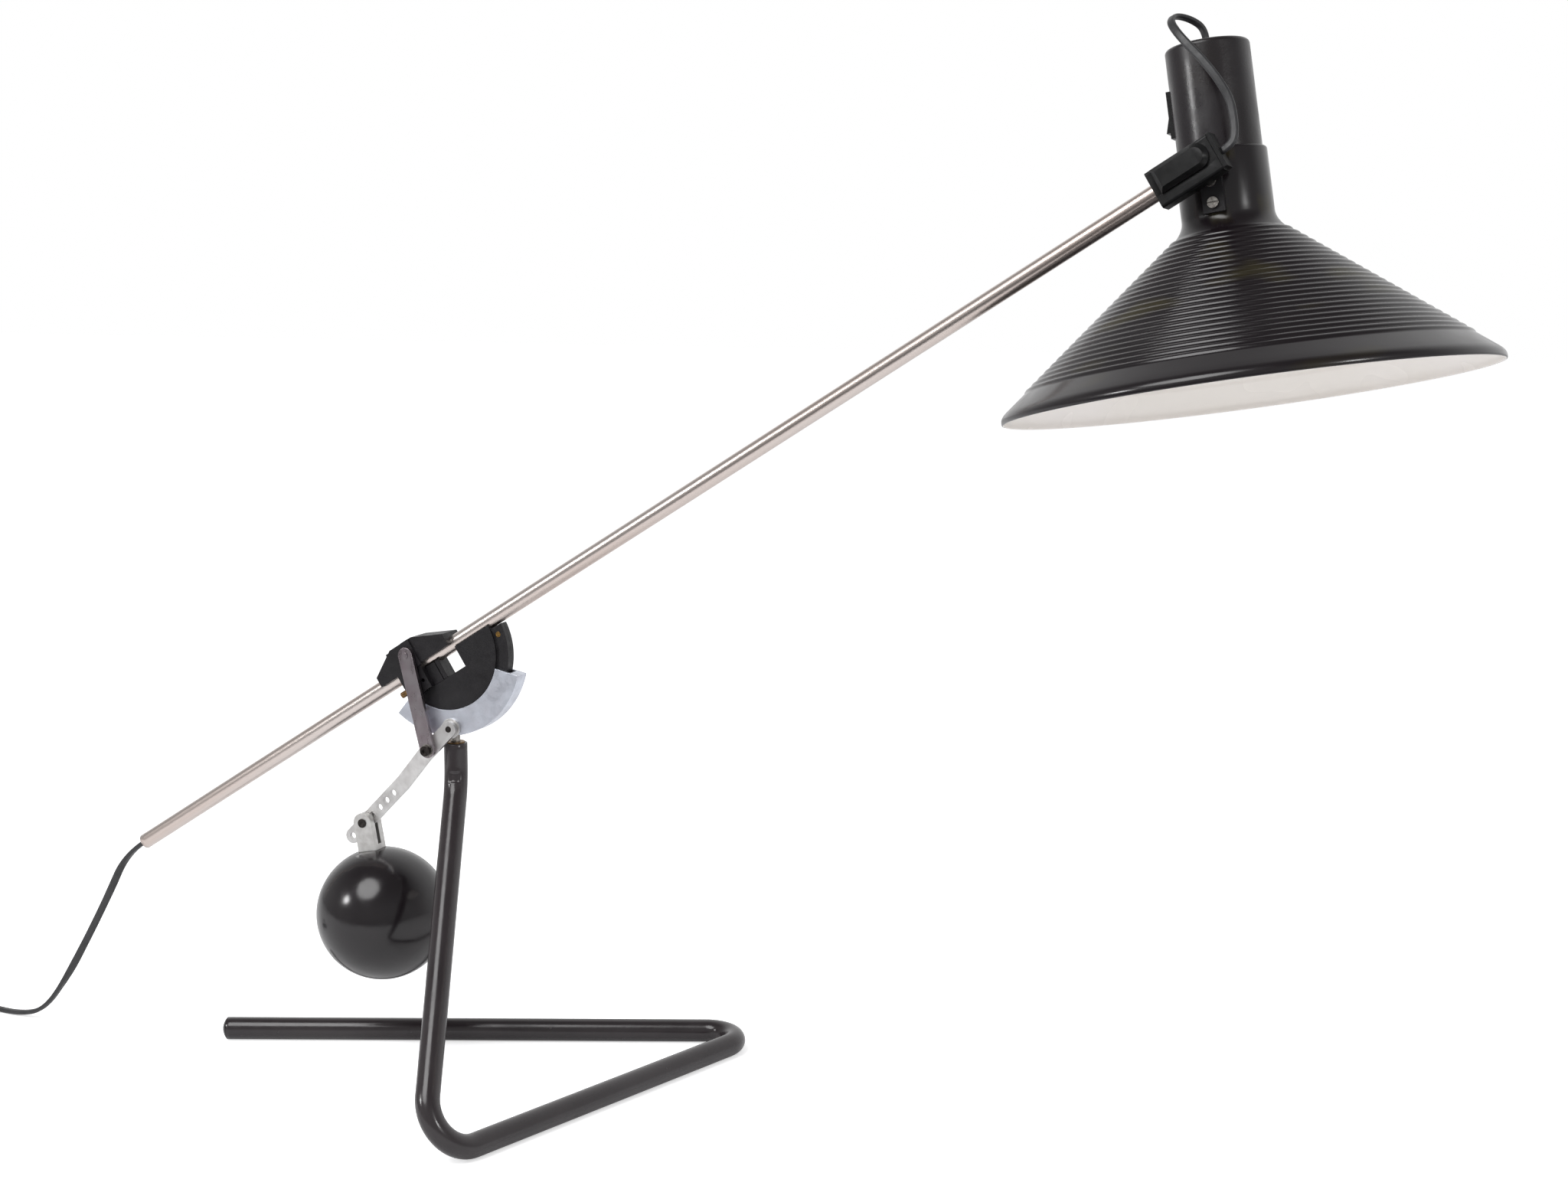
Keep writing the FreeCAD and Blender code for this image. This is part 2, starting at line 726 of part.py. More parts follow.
def stud_bar():
    """Stud between clevis and ball, in the clevis frame."""
    low = -ball_below_pin + ball_seat_height() - stud_in_ball
    top = -clevis_web_top - stud_sunk
    return rod(V(0, 0, low), Z_AXIS, min(stud_d, 2 * (clevis_size / 2 + clevis_web_left)) / 2, top - low)


def ball_stud():
    """Threaded stud that fixes the clevis to the ball."""
    return placed(stud_bar(), CLEVIS)


def counterweight_ball():
    """Solid ball with a flat on top for the clevis."""
    centre = V(0, 0, -ball_below_pin)
    ball = Part.makeSphere(ball_d / 2, centre)
    flat = -ball_below_pin + ball_seat_height()
    r = ball_d / 2
    ball = ball.cut(block(-r, r, -r, r, flat, flat + r))
    return placed(ball.cut(stud_bar()), CLEVIS)


# ---- holder -----------------------------------------------------------------------------
def holder_block(z0, z1):
    """Part of the moulded holder between two heights, with rounded long edges."""
    y = holder_half_width
    lump = block(holder_left, holder_right, -y, y, holder_bottom, holder_top)
    long_edges = [e for e in lump.Edges if abs(e.tangentAt(e.FirstParameter).x) > 0.99]
    lump = lump.makeFillet(holder_edge_r, long_edges)
    return lump.common(block(holder_left - 1, holder_right + 1, -y - 1, y + 1, z0, z1))


def boss_block():
    """Raised block on the holder's front, chamfered above and below, round at its right end."""
    back = -holder_half_width + 1
    front = -holder_half_width - boss_proud
    radius = (boss_top - boss_bottom) / 2
    middle = (boss_top + boss_bottom) / 2
    body = strap(V(boss_left + radius, 0, middle), V(boss_right - radius, 0, middle), radius, front, back)
    square = block(boss_left, boss_left + radius, front, back, boss_bottom, boss_top)
    body = body.fuse(square).removeSplitter()
    rim_edges = [e for e in body.Edges if abs(e.CenterOfMass.y - front) < 0.01]
    return body.makeChamfer(boss_chamfer, rim_edges)


def holder_cuts(shape):
    """Bores the holder for the tube, the cord and the hinge pin."""
    bore = rod(V(holder_left - 1, 0, arm_axis_up), X_AXIS, arm_r + seat_gap,
               arm_high_end - holder_left + 1)
    cord = rod(V(holder_left, 0, arm_axis_up), X_AXIS, cord_r + seat_gap, 2 * holder_right)
    return shape.cut(bore).cut(cord)


def holder_body():
    """Upper half of the holder with the raised block."""
    upper = holder_block(holder_split, holder_top).fuse(boss_block()).removeSplitter()
    return placed(holder_cuts(upper).cut(hinge_pin_bar()), ROLLED)


def holder_cover():
    """Lower half of the holder, closed under the tube."""
    lower = holder_cuts(holder_block(holder_bottom, holder_split))
    return placed(lower.cut(boss_block()).cut(hinge_pin_bar()), ROLLED)


def holder_end_plate():
    """Plate on the holder's outer end that the cord goes through."""
    y = holder_half_width - end_plate_inset / 2
    plate = block(holder_right, holder_right + end_plate, -y, y,
                  holder_bottom + end_plate_inset, holder_top)
    bore = rod(V(holder_right - 1, 0, arm_axis_up), X_AXIS, cord_r + seat_gap, end_plate + 2)
    return placed(plate.cut(bore), ROLLED)


def hinge_pin_bar():
    """Head hinge pin in the rolled arm frame: into the holder beside the tube's end."""
    start = V(hinge_on_arm, cord_r + 1, arm_axis_up)
    return rod(start, Y_AXIS, hinge_pin_d / 2, hinge_plane + bracket_thick - cord_r - 1)


def head_hinge_pin():
    """Pin of the head hinge, fixed in the holder."""
    return placed(hinge_pin_bar(), ROLLED)


def hinge_washer_ring():
    """Friction washer between the holder and the bracket."""
    start = V(hinge_on_arm, holder_half_width, arm_axis_up)
    thick = hinge_washer - slide_gap / 3
    ring = rod(start, Y_AXIS, hinge_washer_r, thick)
    return placed(ring.cut(rod(start, Y_AXIS, hinge_pin_d / 2 + seat_gap, thick)), ROLLED)


# ---- head -------------------------------------------------------------------------------
def below_cap(distance):
    """Height in the head frame of a place given by its distance below the cap."""
    return cap_above_hinge - distance


def neck_bracket():
    """Plate on the collar that the head hinges on."""
    half = bracket_width / 2
    front = -collar_r - bracket_thick
    z0 = below_cap(bracket_bottom)
    z1 = below_cap(bracket_top)
    plate = block(-half, half, front, -collar_r + bracket_root, z0, z1)
    plate = plate.cut(rod(V(0, 0, z0 - 1), Z_AXIS, collar_r, z1 - z0 + 2))
    hole = rod(V(0, front - 1, 0), Y_AXIS, hinge_pin_d / 2 + running_gap, bracket_thick + 3)
    plate = plate.cut(hole)
    for bar in bracket_screw_bars():
        plate = plate.cut(bar)
    return placed(plate, HEAD)


def bracket_screw_bars():
    """Shanks of the bracket's screws in the head frame."""
    front = -collar_r - bracket_thick
    bars = []
    for i in range(2):
        z = below_cap(bracket_screw_first + i * bracket_screw_pitch)
        length = bracket_thick + bracket_screw_reach
        bars.append(rod(V(0, front, z), Y_AXIS, bracket_screw_d / 2, length))
    return bars


def bracket_screws():
    """Two slotted screws through bracket, collar and cup."""
    front = -collar_r - bracket_thick
    screws = []
    for bar in bracket_screw_bars():
        z = bar.CenterOfMass.z
        head = rod(V(0, front - bracket_screw_head, z), Y_AXIS, bracket_screw_head_r, bracket_screw_head)
        depth = bracket_screw_head / 2
        half = bracket_screw_slot / 2
        r = bracket_screw_head_r
        slot = block(-r, r, front - bracket_screw_head - 1, front - depth, z - half, z + half)
        screws.append(bar.fuse(head).cut(slot))
    return placed(Part.Compound(screws), HEAD)


def socket_cup():
    """Drawn cup that closes the neck, holed for cord, switch and screws."""
    top = cap_above_hinge
    low = below_cap(cup_length)
    r = cup_corner_r
    k = math.sqrt(0.5)
    outer_mid = V(cup_r - r + r * k, 0, top - r + r * k)
    inner_r = cup_r - cup_wall
    ir = r - cup_wall
    inner_mid = V(cup_r - r + ir * k, 0, top - r + ir * k)
    corners = [V(cord_hole_r, 0, top), V(cup_r - r, 0, top), V(cup_r, 0, top - r), V(cup_r, 0, low),
               V(inner_r, 0, low), V(inner_r, 0, top - r), V(cup_r - r, 0, top - cup_wall),
               V(cord_hole_r, 0, top - cup_wall)]
    edges = [
        Part.makeLine(corners[0], corners[1]),
        Part.Arc(corners[1], outer_mid, corners[2]).toShape(),
        Part.makeLine(corners[2], corners[3]),
        Part.makeLine(corners[3], corners[4]),
        Part.makeLine(corners[4], corners[5]),
        Part.Arc(corners[5], inner_mid, corners[6]).toShape(),
        Part.makeLine(corners[6], corners[7]),
        Part.makeLine(corners[7], corners[0]),
    ]
    cup = turned(edges)
    cup = cup.cut(switch_window(seat_gap))
    for bar in bracket_screw_bars():
        cup = cup.cut(bar)
    return placed(cup, HEAD)


def shade_outline():
    """Closed outline of the spun shade as (radius, height): collar, stepped cone and rim."""
    outer = [(cup_r + seat_gap, collar_top), (collar_r - sheet, collar_top + sheet / 2),
             (collar_r, collar_top + collar_lip_r), (collar_r, collar_bottom)]
    flare = cone_start - collar_bottom
    outer.append((collar_r + 0.1 * flare, collar_bottom + 0.42 * flare))
    outer.append((collar_r + 0.24 * flare, collar_bottom + 0.7 * flare))
    cone_slope = (cone_end - cone_start) / (cone_end_r - cone_start_r)
    step_r = (rib_end_r - cone_start_r) / rib_count
    step_s = step_r * cone_slope
    slant = math.hypot(step_r, step_s)
    normal_r = step_s / slant
    normal_s = -step_r / slant
    for i in range(rib_count):
        r0 = cone_start_r + i * step_r
        s0 = cone_start + i * step_s
        outer.append((r0, s0))
        outer.append((r0 + rib_crest * step_r + rib_depth * normal_r,
                      s0 + rib_crest * step_s + rib_depth * normal_s))
    outer.append((rib_end_r, cone_start + rib_count * step_s))
    outer.append((cone_end_r, cone_end))
    turn_r = (rim_r - cone_end_r) * rib_crest
    bead = [(cone_end_r + turn_r, cone_end + turn_r), (rim_r, rim - skirt), (rim_r, rim - rim_corner),
            (rim_r - rim_corner, rim), (rim_r - sheet - rim_corner / 2, rim), (rim_r - sheet, rim - skirt)]
    inner = [(cone_end_r - normal_r * sheet, cone_end - normal_s * sheet),
             (cone_start_r - normal_r * sheet, cone_start - normal_s * sheet),
             (collar_r - sheet, collar_bottom + sheet), (collar_r - sheet, collar_top + collar_lip_r),
             (cup_r + seat_gap, collar_top + sheet)]
    return [(r, below_cap(s)) for r, s in outer + bead + inner]


def shade():
    """Spun shade: collar, stepped cone, plain band and rolled rim in one sheet."""
    body = turned(outline_edges(shade_outline()))
    for bar in bracket_screw_bars():
        body = body.cut(bar)
    return placed(body, HEAD)


def cord_grommet():
    """Rubber grommet in the cap's hole."""
    top = cap_above_hinge
    low = top - cup_wall - 2
    edges = outline_edges([
        (grommet_bore_r, low), (cord_hole_r - seat_gap, low), (cord_hole_r - seat_gap, top),
        (grommet_r, top), (grommet_r * 0.8, top + grommet_dome * 0.7),
        (grommet_bore_r + 0.8, top + grommet_dome), (grommet_bore_r, top + grommet_dome)])
    return placed(turned(edges), HEAD)


def switch_window(extra):
    """Solid of the hole for the switch in the cup's wall."""
    z = below_cap(switch_centre)
    length = switch_body_length / 2 + extra
    width = switch_body_width / 2 + extra
    return block(-cup_r - 2, -cup_r + switch_body_depth, -width, width, z - length, z + length)


def rocker_pocket():
    """Pocket in the switch that the rocker moves in."""
    z = below_cap(switch_centre)
    length = rocker_length / 2 + 2 * rocker_gap
    width = rocker_width / 2 + rocker_gap
    depth = rocker_root + rocker_length / 2 * math.sin(math.radians(rocker_throw)) + rocker_gap
    return block(-cup_r - bezel_proud - 4, -cup_r + depth, -width, width, z - length, z + length)


def switch_housing():
    """Switch body with its bezel, seated on the cup's wall."""
    z = below_cap(switch_centre)
    neck = rod(V(0, 0, z - bezel_length), Z_AXIS, cup_r, 2 * bezel_length)
    body = switch_window(0).common(neck)
    half_l = bezel_length / 2
    half_w = bezel_width / 2
    bezel = block(-cup_r - bezel_proud, -cup_r + switch_back_skin, -half_w, half_w, z - half_l, z + half_l)
    body = body.fuse(bezel.cut(neck)).cut(rocker_pocket())
    axis_at = shift(V(-cup_r, 0, z))
    return placed(body.cut(placed(rocker_trunnions(running_gap), axis_at)), HEAD)


def rocker_trunnions(extra):
    """Round pivots on both sides of the rocker, about its own axis."""
    reach = rocker_width / 2 + rocker_gap + rocker_trunnion
    return rod(V(0, -reach - extra, 0), Y_AXIS, rocker_trunnion_r + extra, 2 * (reach + extra))


def switch_rocker():
    """Rocker with a dished face, at rest with its lower end out."""
    half = rocker_length / 2
    root = half - rocker_corner
    outline = [(rocker_root, -root), (rocker_root, root), (-rocker_tip, half), (-rocker_waist, 0),
               (-rocker_tip, -half)]
    body = prism(outline, -rocker_width / 2, rocker_width / 2).fuse(rocker_trunnions(0))
    frame = HEAD * shift(V(-cup_r, 0, below_cap(switch_centre))) * turn(Y_AXIS, rocker_throw)
    return placed(body, frame)


# ---- lampholder -------------------------------------------------------------------------
def support_nipple():
    """Threaded tube that hangs the lampholder from the cap."""
    low = below_cap(lampholder_top + 4)
    high = cap_above_hinge - cup_wall - 2 - slide_gap
    tube = rod(V(0, 0, low), Z_AXIS, nipple_d / 2, high - low)
    return placed(tube.cut(rod(V(0, 0, low), Z_AXIS, nipple_bore_d / 2, high - low)), HEAD)


def nipple_bridge():
    """Strap inside the cup that the nipple is screwed to."""
    z = below_cap(lampholder_top) + nipple_nut
    bridge = rod(V(0, 0, z), Z_AXIS, cup_r - cup_wall - seat_gap, sheet * 2)
    keep = block(-cup_r, cup_r, -nipple_nut_r, nipple_nut_r, z - 1, z + 4)
    bridge = bridge.common(keep)
    return placed(bridge.cut(rod(V(0, 0, z), Z_AXIS, nipple_d / 2 + seat_gap, 4)), HEAD)


def nipple_nut_ring():
    """Nut that locks the nipple on the bridge."""
    z = below_cap(lampholder_top) + nipple_nut + sheet * 2
    points = [polar(nipple_nut_r, 60 * i) for i in range(6)]
    ring = [V(p.x, p.z, z) for p in points]
    nut = Part.Face(Part.makePolygon(ring + ring[:1])).extrude(V(0, 0, nipple_nut))
    return placed(nut.cut(rod(V(0, 0, z), Z_AXIS, nipple_d / 2 + seat_gap, nipple_nut)), HEAD)


def lampholder_body():
    """Moulded lampholder with a stepped top and a bore for the lamp's screw shell."""
    top = below_cap(lampholder_top)
    shoulder = below_cap(lampholder_shoulder)
    low = below_cap(lampholder_bottom)
    bore_top = contact_top()
    shell_r = lamp_bore_r + shell_wall + seat_gap
    edges = outline_edges([
        (nipple_d / 2 + seat_gap, top - 6), (nipple_d / 2 + seat_gap, top), (lampholder_neck_r - 1.5, top),
        (lampholder_neck_r, top - 1.5), (lampholder_neck_r, shoulder + 1), (lampholder_r, shoulder - 2),
        (lampholder_r, low + 4), (lampholder_r - 1.2, low), (shell_r, low), (shell_r, bore_top),
        (1.0, bore_top), (1.0, top - 6)])
    return placed(turned(edges), HEAD)


def contact_top():
    """Height of the bore's closed end, where the contact sits."""
    return below_cap(lampholder_bottom) + lamp_shell_inset + lamp_bore_length + contact_clear + contact_thick


def lampholder_shell():
    """Metal screw shell inside the lampholder."""
    low = below_cap(lampholder_bottom) + lamp_shell_inset
    tube = rod(V(0, 0, low), Z_AXIS, lamp_bore_r + shell_wall, lamp_bore_length)
    return placed(tube.cut(rod(V(0, 0, low), Z_AXIS, lamp_bore_r, lamp_bore_length)), HEAD)


def lampholder_contact():
    """Centre contact at the bottom of the lampholder."""
    return placed(rod(V(0, 0, contact_top() - contact_thick), Z_AXIS, contact_r, contact_thick), HEAD)


# ---- cords ------------------------------------------------------------------------------
def head_point(x, y, below):
    """Room position of a cord point given in the head frame, with its distance below the cap."""
    return HEAD.multVec(V(x, y, below_cap(below)))


def arm_point(x, y, z):
    """Room position of a point given in the rolled arm frame."""
    return ROLLED.multVec(V(x, y, z))


def head_loop_route():
    """Cord from the grommet over the cap and down the front into the holder."""
    end = holder_right + end_plate
    return [
        head_point(0.0, 0.0, -grommet_dome), head_point(0.0, 0.0, -9.5), head_point(-6.0, -4.5, -15.5),
        head_point(-12.5, -13.0, -17.5), head_point(-13.5, -22.0, -13.0), head_point(-8.5, -28.5, -4.5),
        head_point(-2.0, -31.5, 4.5), head_point(6.0, -33.0, 15.5), head_point(13.0, -33.5, 27.5),
        head_point(17.5, -33.5, 38.5), head_point(18.5, -34.5, 49.5), head_point(18.3, -36.0, 58.5),
        arm_point(end + 6.0, 0, arm_axis_up), arm_point(end, 0, arm_axis_up)]


def cord_head_loop():
    """Loose loop of cord beside the neck, from the cap to the holder."""
    return cord_tube(head_loop_route(), "head loop")


def cord_in_arm():
    """Cord inside the holder and the arm tube."""
    start = V(arm_low_end, 0, arm_axis_up)
    return placed(rod(start, X_AXIS, cord_r, holder_right + end_plate - arm_low_end), ROLLED)


def cord_tube(points, name):
    """Cord solid along a route; prints its tightest arc and its length."""
    radii = easy_radii(points)
    path = bent_path(points, radii)
    solid = tube_along(path, cord_r)
    ratio = solid.Volume / (math.pi * cord_r ** 2 * path.Length)
    print("%s: length %.0f, arcs %s, volume over section times length %.4f"
          % (name, path.Length, " ".join("%.0f" % r for r in radii), ratio))
    return solid


def cord_lead_end():
    """Where the cord starts to fall from the arm's lower end."""
    return arm_point(arm_low_end - cord_lead, 0, arm_axis_up)


def coil_centre():
    """Middle of the coil on the floor, as (x, y)."""
    return cord_lead_end().x + coil_from_lead[0], coil_from_lead[1]


def coil_start():
    """Where the cord joins the coil's outer turn on the floor, heading -X."""
    cx, cy = coil_centre()
    return V(cx + cord_d, cy + coil_outer_r(), coil_low())


def coil_outer_r():
    """Radius of the outermost turn."""
    return coil_mean_r + coil_turns * coil_pitch() / 2


def coil_low():
    """Height of the lower layer's centre line, over the tie."""
    return cord_r + tie_thick + tie_gap


def coil_pitch():
    """Distance between neighbouring turns."""
    return cord_d + cord_turn_gap


def cord_free():
    """Cord from the arm's lower end down to the floor and along it to the coil."""
    exit_end = arm_point(arm_low_end, 0, arm_axis_up)
    lead = cord_lead_end()
    floor = cord_r + floor_gap
    join = coil_start()
    points = [exit_end, lead]
    points += [V(lead.x - left, aside, lead.z * share) for left, share, aside in cord_fall]
    points.append(V(lead.x - cord_on_floor[0], cord_on_floor[1], floor))
    points.append(V(lead.x - cord_to_coil, join.y, join.z))
    return cord_tube(points + [join], "free cord")


def coil_edges():
    """Half-turn arcs: a flat spiral inwards, a climb of one layer, and a spiral outwards."""
    pitch = coil_pitch()
    half_turns = 2 * coil_turns
    cx, cy = coil_centre()
    low = coil_low()
    high = low + pitch
    edges = [Part.LineSegment(coil_start(), coil_start() - X_AXIS * cord_d).toShape()]
    radii = [coil_outer_r() - k * pitch / 2 for k in range(half_turns)]
    steps = [(r, -pitch / 2) for r in radii] + [(radii[-1] - pitch / 2, 0.0)]
    steps += [(r, pitch / 2) for r in reversed(radii[1:])]
    y_start = cy + coil_outer_r()
    side = 1
    for k, (radius, change) in enumerate(steps):
        climb = k == half_turns
        z0 = low if k <= half_turns else high
        z1 = high if k >= half_turns else low
        y_end = y_start - side * 2 * radius
        centre_y = (y_start + y_end) / 2
        reach = math.hypot(radius, (z1 - z0) / 2) if climb else radius
        middle = V(cx - side * reach, centre_y, (z0 + z1) / 2)
        edges.append(Part.Arc(V(cx, y_start, z0), middle, V(cx, y_end, z1)).toShape())
        y_start = y_end
        side = -side
    last = V(cx, y_start, high)
    edges.append(Part.LineSegment(last, last - X_AXIS * side * cord_d).toShape())
    return edges


def coil_gap():
    """Least distance between points of the coil's centre line that are not neighbours."""
    points = []
    for edge in coil_edges()[1:-1]:
        points += edge.discretize(25)[:-1]
    apart = 12
    best = min((p - q).Length for i, p in enumerate(points) for q in points[i + apart:])
    return best - cord_d


def cord_coil():
    """Put-away length of the cord in a neat coil of two layers."""
    path = Part.Wire(coil_edges())
    solid = tube_along(path, cord_r)
    ratio = solid.Volume / (math.pi * cord_r ** 2 * path.Length)
    print("coil: length %.0f, least gap to itself %.2f, volume over section times length %.4f"
          % (path.Length, coil_gap(), ratio))
    return solid


def coil_exit():
    """End point and heading of the coil's last turn."""
    last = coil_edges()[-1]
    return last.valueAt(last.LastParameter), last.tangentAt(last.LastParameter)


def plug_frame():
    """Frame of the plug on the floor: X towards its pins."""
    end, heading = coil_exit()
    side = V(-heading.y, heading.x, 0)
    place = end + heading * plug_place[0] + side * plug_place[1]
    angle = math.degrees(math.atan2(heading.y, heading.x)) + plug_heading
    place.z = plug_height / 2 + floor_gap
    return shift(place) * turn(Z_AXIS, angle)


def cord_tail():
    """Cord from the coil down to the floor and into the plug."""
    end, heading = coil_exit()
    frame = plug_frame()
    into = frame.multVec(V(-plug_nose_length, 0, 0))
    before = frame.multVec(V(-plug_nose_length - plug_tail, 0, 0))
    side = V(-heading.y, heading.x, 0)
    points = [end, end + heading * 12.0, end + heading * 30.0 + side * 0.8 + V(0, 0, -1.2),
              end + heading * 55.0 + side * 3.0 + V(0, 0, -3.4), before, into]
    return cord_tube(points, "tail")


def plug_body():
    """Flat two-pin plug body with a tapered nose for the cord."""
    half_w = plug_width / 2
    half_h = plug_height / 2
    back_w = half_w * plug_back_share
    wide_x = plug_length * plug_taper
    outline = [V(0, -back_w, 0), V(wide_x, -half_w, 0), V(plug_length, -half_w, 0),
               V(plug_length, half_w, 0), V(wide_x, half_w, 0), V(0, back_w, 0)]
    body = Part.Face(Part.makePolygon(outline + outline[:1])).extrude(V(0, 0, plug_height))
    body.translate(V(0, 0, -half_h))
    body = body.makeFillet(plug_edge_r, body.Edges)
    length = plug_nose_length + plug_edge_r
    small_r = cord_r + plug_nose_wall
    nose = Part.makeCone(small_r, half_h - plug_edge_r, length, V(-plug_nose_length, 0, 0), X_AXIS)
    return placed(body.fuse(nose).removeSplitter(), plug_frame())


def plug_pins():
    """The plug's two round pins."""
    pins = []
    for side in (-1, 1):
        start = V(plug_length, side * plug_pin_pitch / 2, 0)
        pins.append(rod(start, X_AXIS, plug_pin_d / 2, plug_pin_length))
    return placed(Part.Compound(pins), plug_frame())


def coil_tie():
    """Band round the bundle of turns."""
    pitch = coil_pitch()
    inner = coil_outer_r() - coil_turns * pitch - cord_r - tie_gap
    outer = coil_outer_r() + cord_r + tie_gap
    top = coil_low() + pitch + cord_r + tie_gap
    half = tie_width / 2
    cx, cy = coil_centre()
    band = block(cx - outer - tie_thick, cx - inner + tie_thick, cy - half, cy + half, 0, top + tie_thick)
    hollow = block(cx - outer, cx - inner, cy - half - 1, cy + half + 1, tie_thick, top)
    return band.cut(hollow)


CORD_NODES = {
    "cord_free": cord_free,
    "cord_coil": cord_coil,
    "cord_tail": cord_tail,
    "coil_tie": coil_tie,
    "plug_body": plug_body,
    "plug_pins": plug_pins,
}

NODES = {
    "base_tube": base_tube,
    "base_end_plug": end_plug,
    "pivot_bush": pivot_bush,
    "swivel_pin": swivel_pin,
    "cradle_front_plate": cradle_front_plate,
    "cradle_back_plate": cradle_back_plate,
    "cradle_spacer": cradle_spacer,
    "cradle_pins": cradle_pins,
    "lever_pivot_pin": lever_pivot_pin,
    "lever_pivot_washer": pivot_washer,
    "disc_front_half": lambda: disc_half(True),
    "disc_back_half": lambda: disc_half(False),
    "disc_rivets": disc_rivets,
    "arm_tube": arm_tube,
    "carriage": carriage,
    "carriage_jaw": lambda: jaw(column_right + seat_gap, jaw_split - jaw_gap),
    "carriage_nut_block": lambda: jaw(jaw_split, jaw_right),
    "balance_screw": balance_screw,
    "counterweight_lever": lever,
    "link_bar": link_bar,
    "link_screw": link_screw,
    "link_washer": link_washer_ring,
    "link_rivet": link_rivet,
    "clevis": clevis,
    "clevis_pin": clevis_pin,
    "ball_stud": ball_stud,
    "counterweight_ball": counterweight_ball,
    "holder_body": holder_body,
    "holder_cover": holder_cover,
    "holder_end_plate": holder_end_plate,
    "head_hinge_pin": head_hinge_pin,
    "head_hinge_washer": hinge_washer_ring,
    "neck_bracket": neck_bracket,
    "bracket_screws": bracket_screws,
    "socket_cup": socket_cup,
    "shade": shade,
    "cord_grommet": cord_grommet,
    "switch_housing": switch_housing,
    "switch_rocker": switch_rocker,
    "support_nipple": support_nipple,
    "nipple_bridge": nipple_bridge,
    "nipple_nut": nipple_nut_ring,
    "lampholder_body": lampholder_body,
    "lampholder_shell": lampholder_shell,
    "lampholder_contact": lampholder_contact,
    "cord_head_loop": cord_head_loop,
    "cord_in_arm": cord_in_arm,
}


def spoken(name, point):
    """Prints a named point in millimetres."""
    print("point %s %.4f %.4f %.4f" % (name, point.x, point.y, point.z))


def main():
    """Builds every piece, centres the lamp over the origin and writes the files."""
    os.makedirs("parts", exist_ok=True)
    shapes = {name: make() for name, make in NODES.items()}
    box = FreeCAD.BoundBox()
    for shape in shapes.values():
        box.add(shape.optimalBoundingBox(False))
    centring = V(-box.Center.x, -box.Center.y, 0)
    shapes.update({name: make() for name, make in CORD_NODES.items()})
    for name, shape in shapes.items():
        shape.translate(centring)
        shape.exportStep("parts/" + name + ".step")
    print("size %.1f x %.1f x %.1f, lowest %.3f" % (box.XLength, box.YLength, box.ZLength, box.ZMin))
    spoken("swivel", centring)
    spoken("disc_centre", disc_centre + centring)
    spoken("lever_pivot", lever_pivot + centring)
    spoken("link_low", link_low + centring)
    spoken("clevis", clevis_point + centring)
    spoken("head_hinge", arm_point(hinge_on_arm, 0, arm_axis_up) + centring)
    spoken("head_axis_y", HEAD.Rotation.multVec(Y_AXIS))
    spoken("head_axis_z", HEAD.Rotation.multVec(Z_AXIS))
    spoken("arm_axis_x", ROLLED.Rotation.multVec(X_AXIS))
    spoken("rocker", HEAD.multVec(V(-cup_r, 0, below_cap(switch_centre))) + centring)
    lamp_mouth = below_cap(lampholder_bottom) + lamp_shell_inset
    spoken("lamp_socket", HEAD.multVec(V(0, 0, lamp_mouth + lamp_bore_length / 2)) + centring)
    spoken("cap_top", HEAD.multVec(V(0, 0, cap_above_hinge)) + centring)
    spoken("rim_centre", HEAD.multVec(V(0, 0, below_cap(rim))) + centring)
    spoken("arm_low_end", arm_point(arm_low_end, 0, arm_axis_up) + centring)
    spoken("holder_exit", arm_point(holder_right + end_plate, 0, arm_axis_up) + centring)


main()
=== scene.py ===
"""Counterweight balance desk lamp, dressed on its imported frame.

Lengths are millimetres in the classes and metres in the meshes. Three frames are used: the row
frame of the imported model, the arm's frame (X along the tube, rolled in its clamp) and the
head's frame (Z up the shade's axis, level with the head hinge).
"""

import json
import logging
import math
from dataclasses import dataclass, field
from enum import Enum

import bmesh
import bpy
import numpy as np
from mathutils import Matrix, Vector

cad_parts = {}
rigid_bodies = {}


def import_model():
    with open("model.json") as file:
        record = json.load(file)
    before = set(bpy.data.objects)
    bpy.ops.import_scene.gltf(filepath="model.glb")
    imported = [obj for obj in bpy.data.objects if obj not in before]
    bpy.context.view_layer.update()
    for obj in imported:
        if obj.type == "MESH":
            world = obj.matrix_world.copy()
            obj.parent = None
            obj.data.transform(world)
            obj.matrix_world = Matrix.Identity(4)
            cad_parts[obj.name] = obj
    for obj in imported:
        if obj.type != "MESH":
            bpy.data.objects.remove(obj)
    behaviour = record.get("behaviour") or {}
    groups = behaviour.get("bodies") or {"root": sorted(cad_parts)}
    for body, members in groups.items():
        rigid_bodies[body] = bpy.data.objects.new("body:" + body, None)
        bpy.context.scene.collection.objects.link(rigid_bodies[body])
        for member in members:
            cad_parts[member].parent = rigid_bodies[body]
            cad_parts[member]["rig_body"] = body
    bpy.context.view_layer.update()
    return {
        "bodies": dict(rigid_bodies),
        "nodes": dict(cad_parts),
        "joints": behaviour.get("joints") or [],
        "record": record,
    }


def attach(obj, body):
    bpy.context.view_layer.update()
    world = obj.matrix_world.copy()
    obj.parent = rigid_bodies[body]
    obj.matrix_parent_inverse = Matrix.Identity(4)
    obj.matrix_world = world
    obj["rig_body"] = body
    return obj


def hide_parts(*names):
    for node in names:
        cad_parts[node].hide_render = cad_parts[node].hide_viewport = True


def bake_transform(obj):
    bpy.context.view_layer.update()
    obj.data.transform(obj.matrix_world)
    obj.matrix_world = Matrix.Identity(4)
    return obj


LOG = logging.getLogger("balance_lamp")
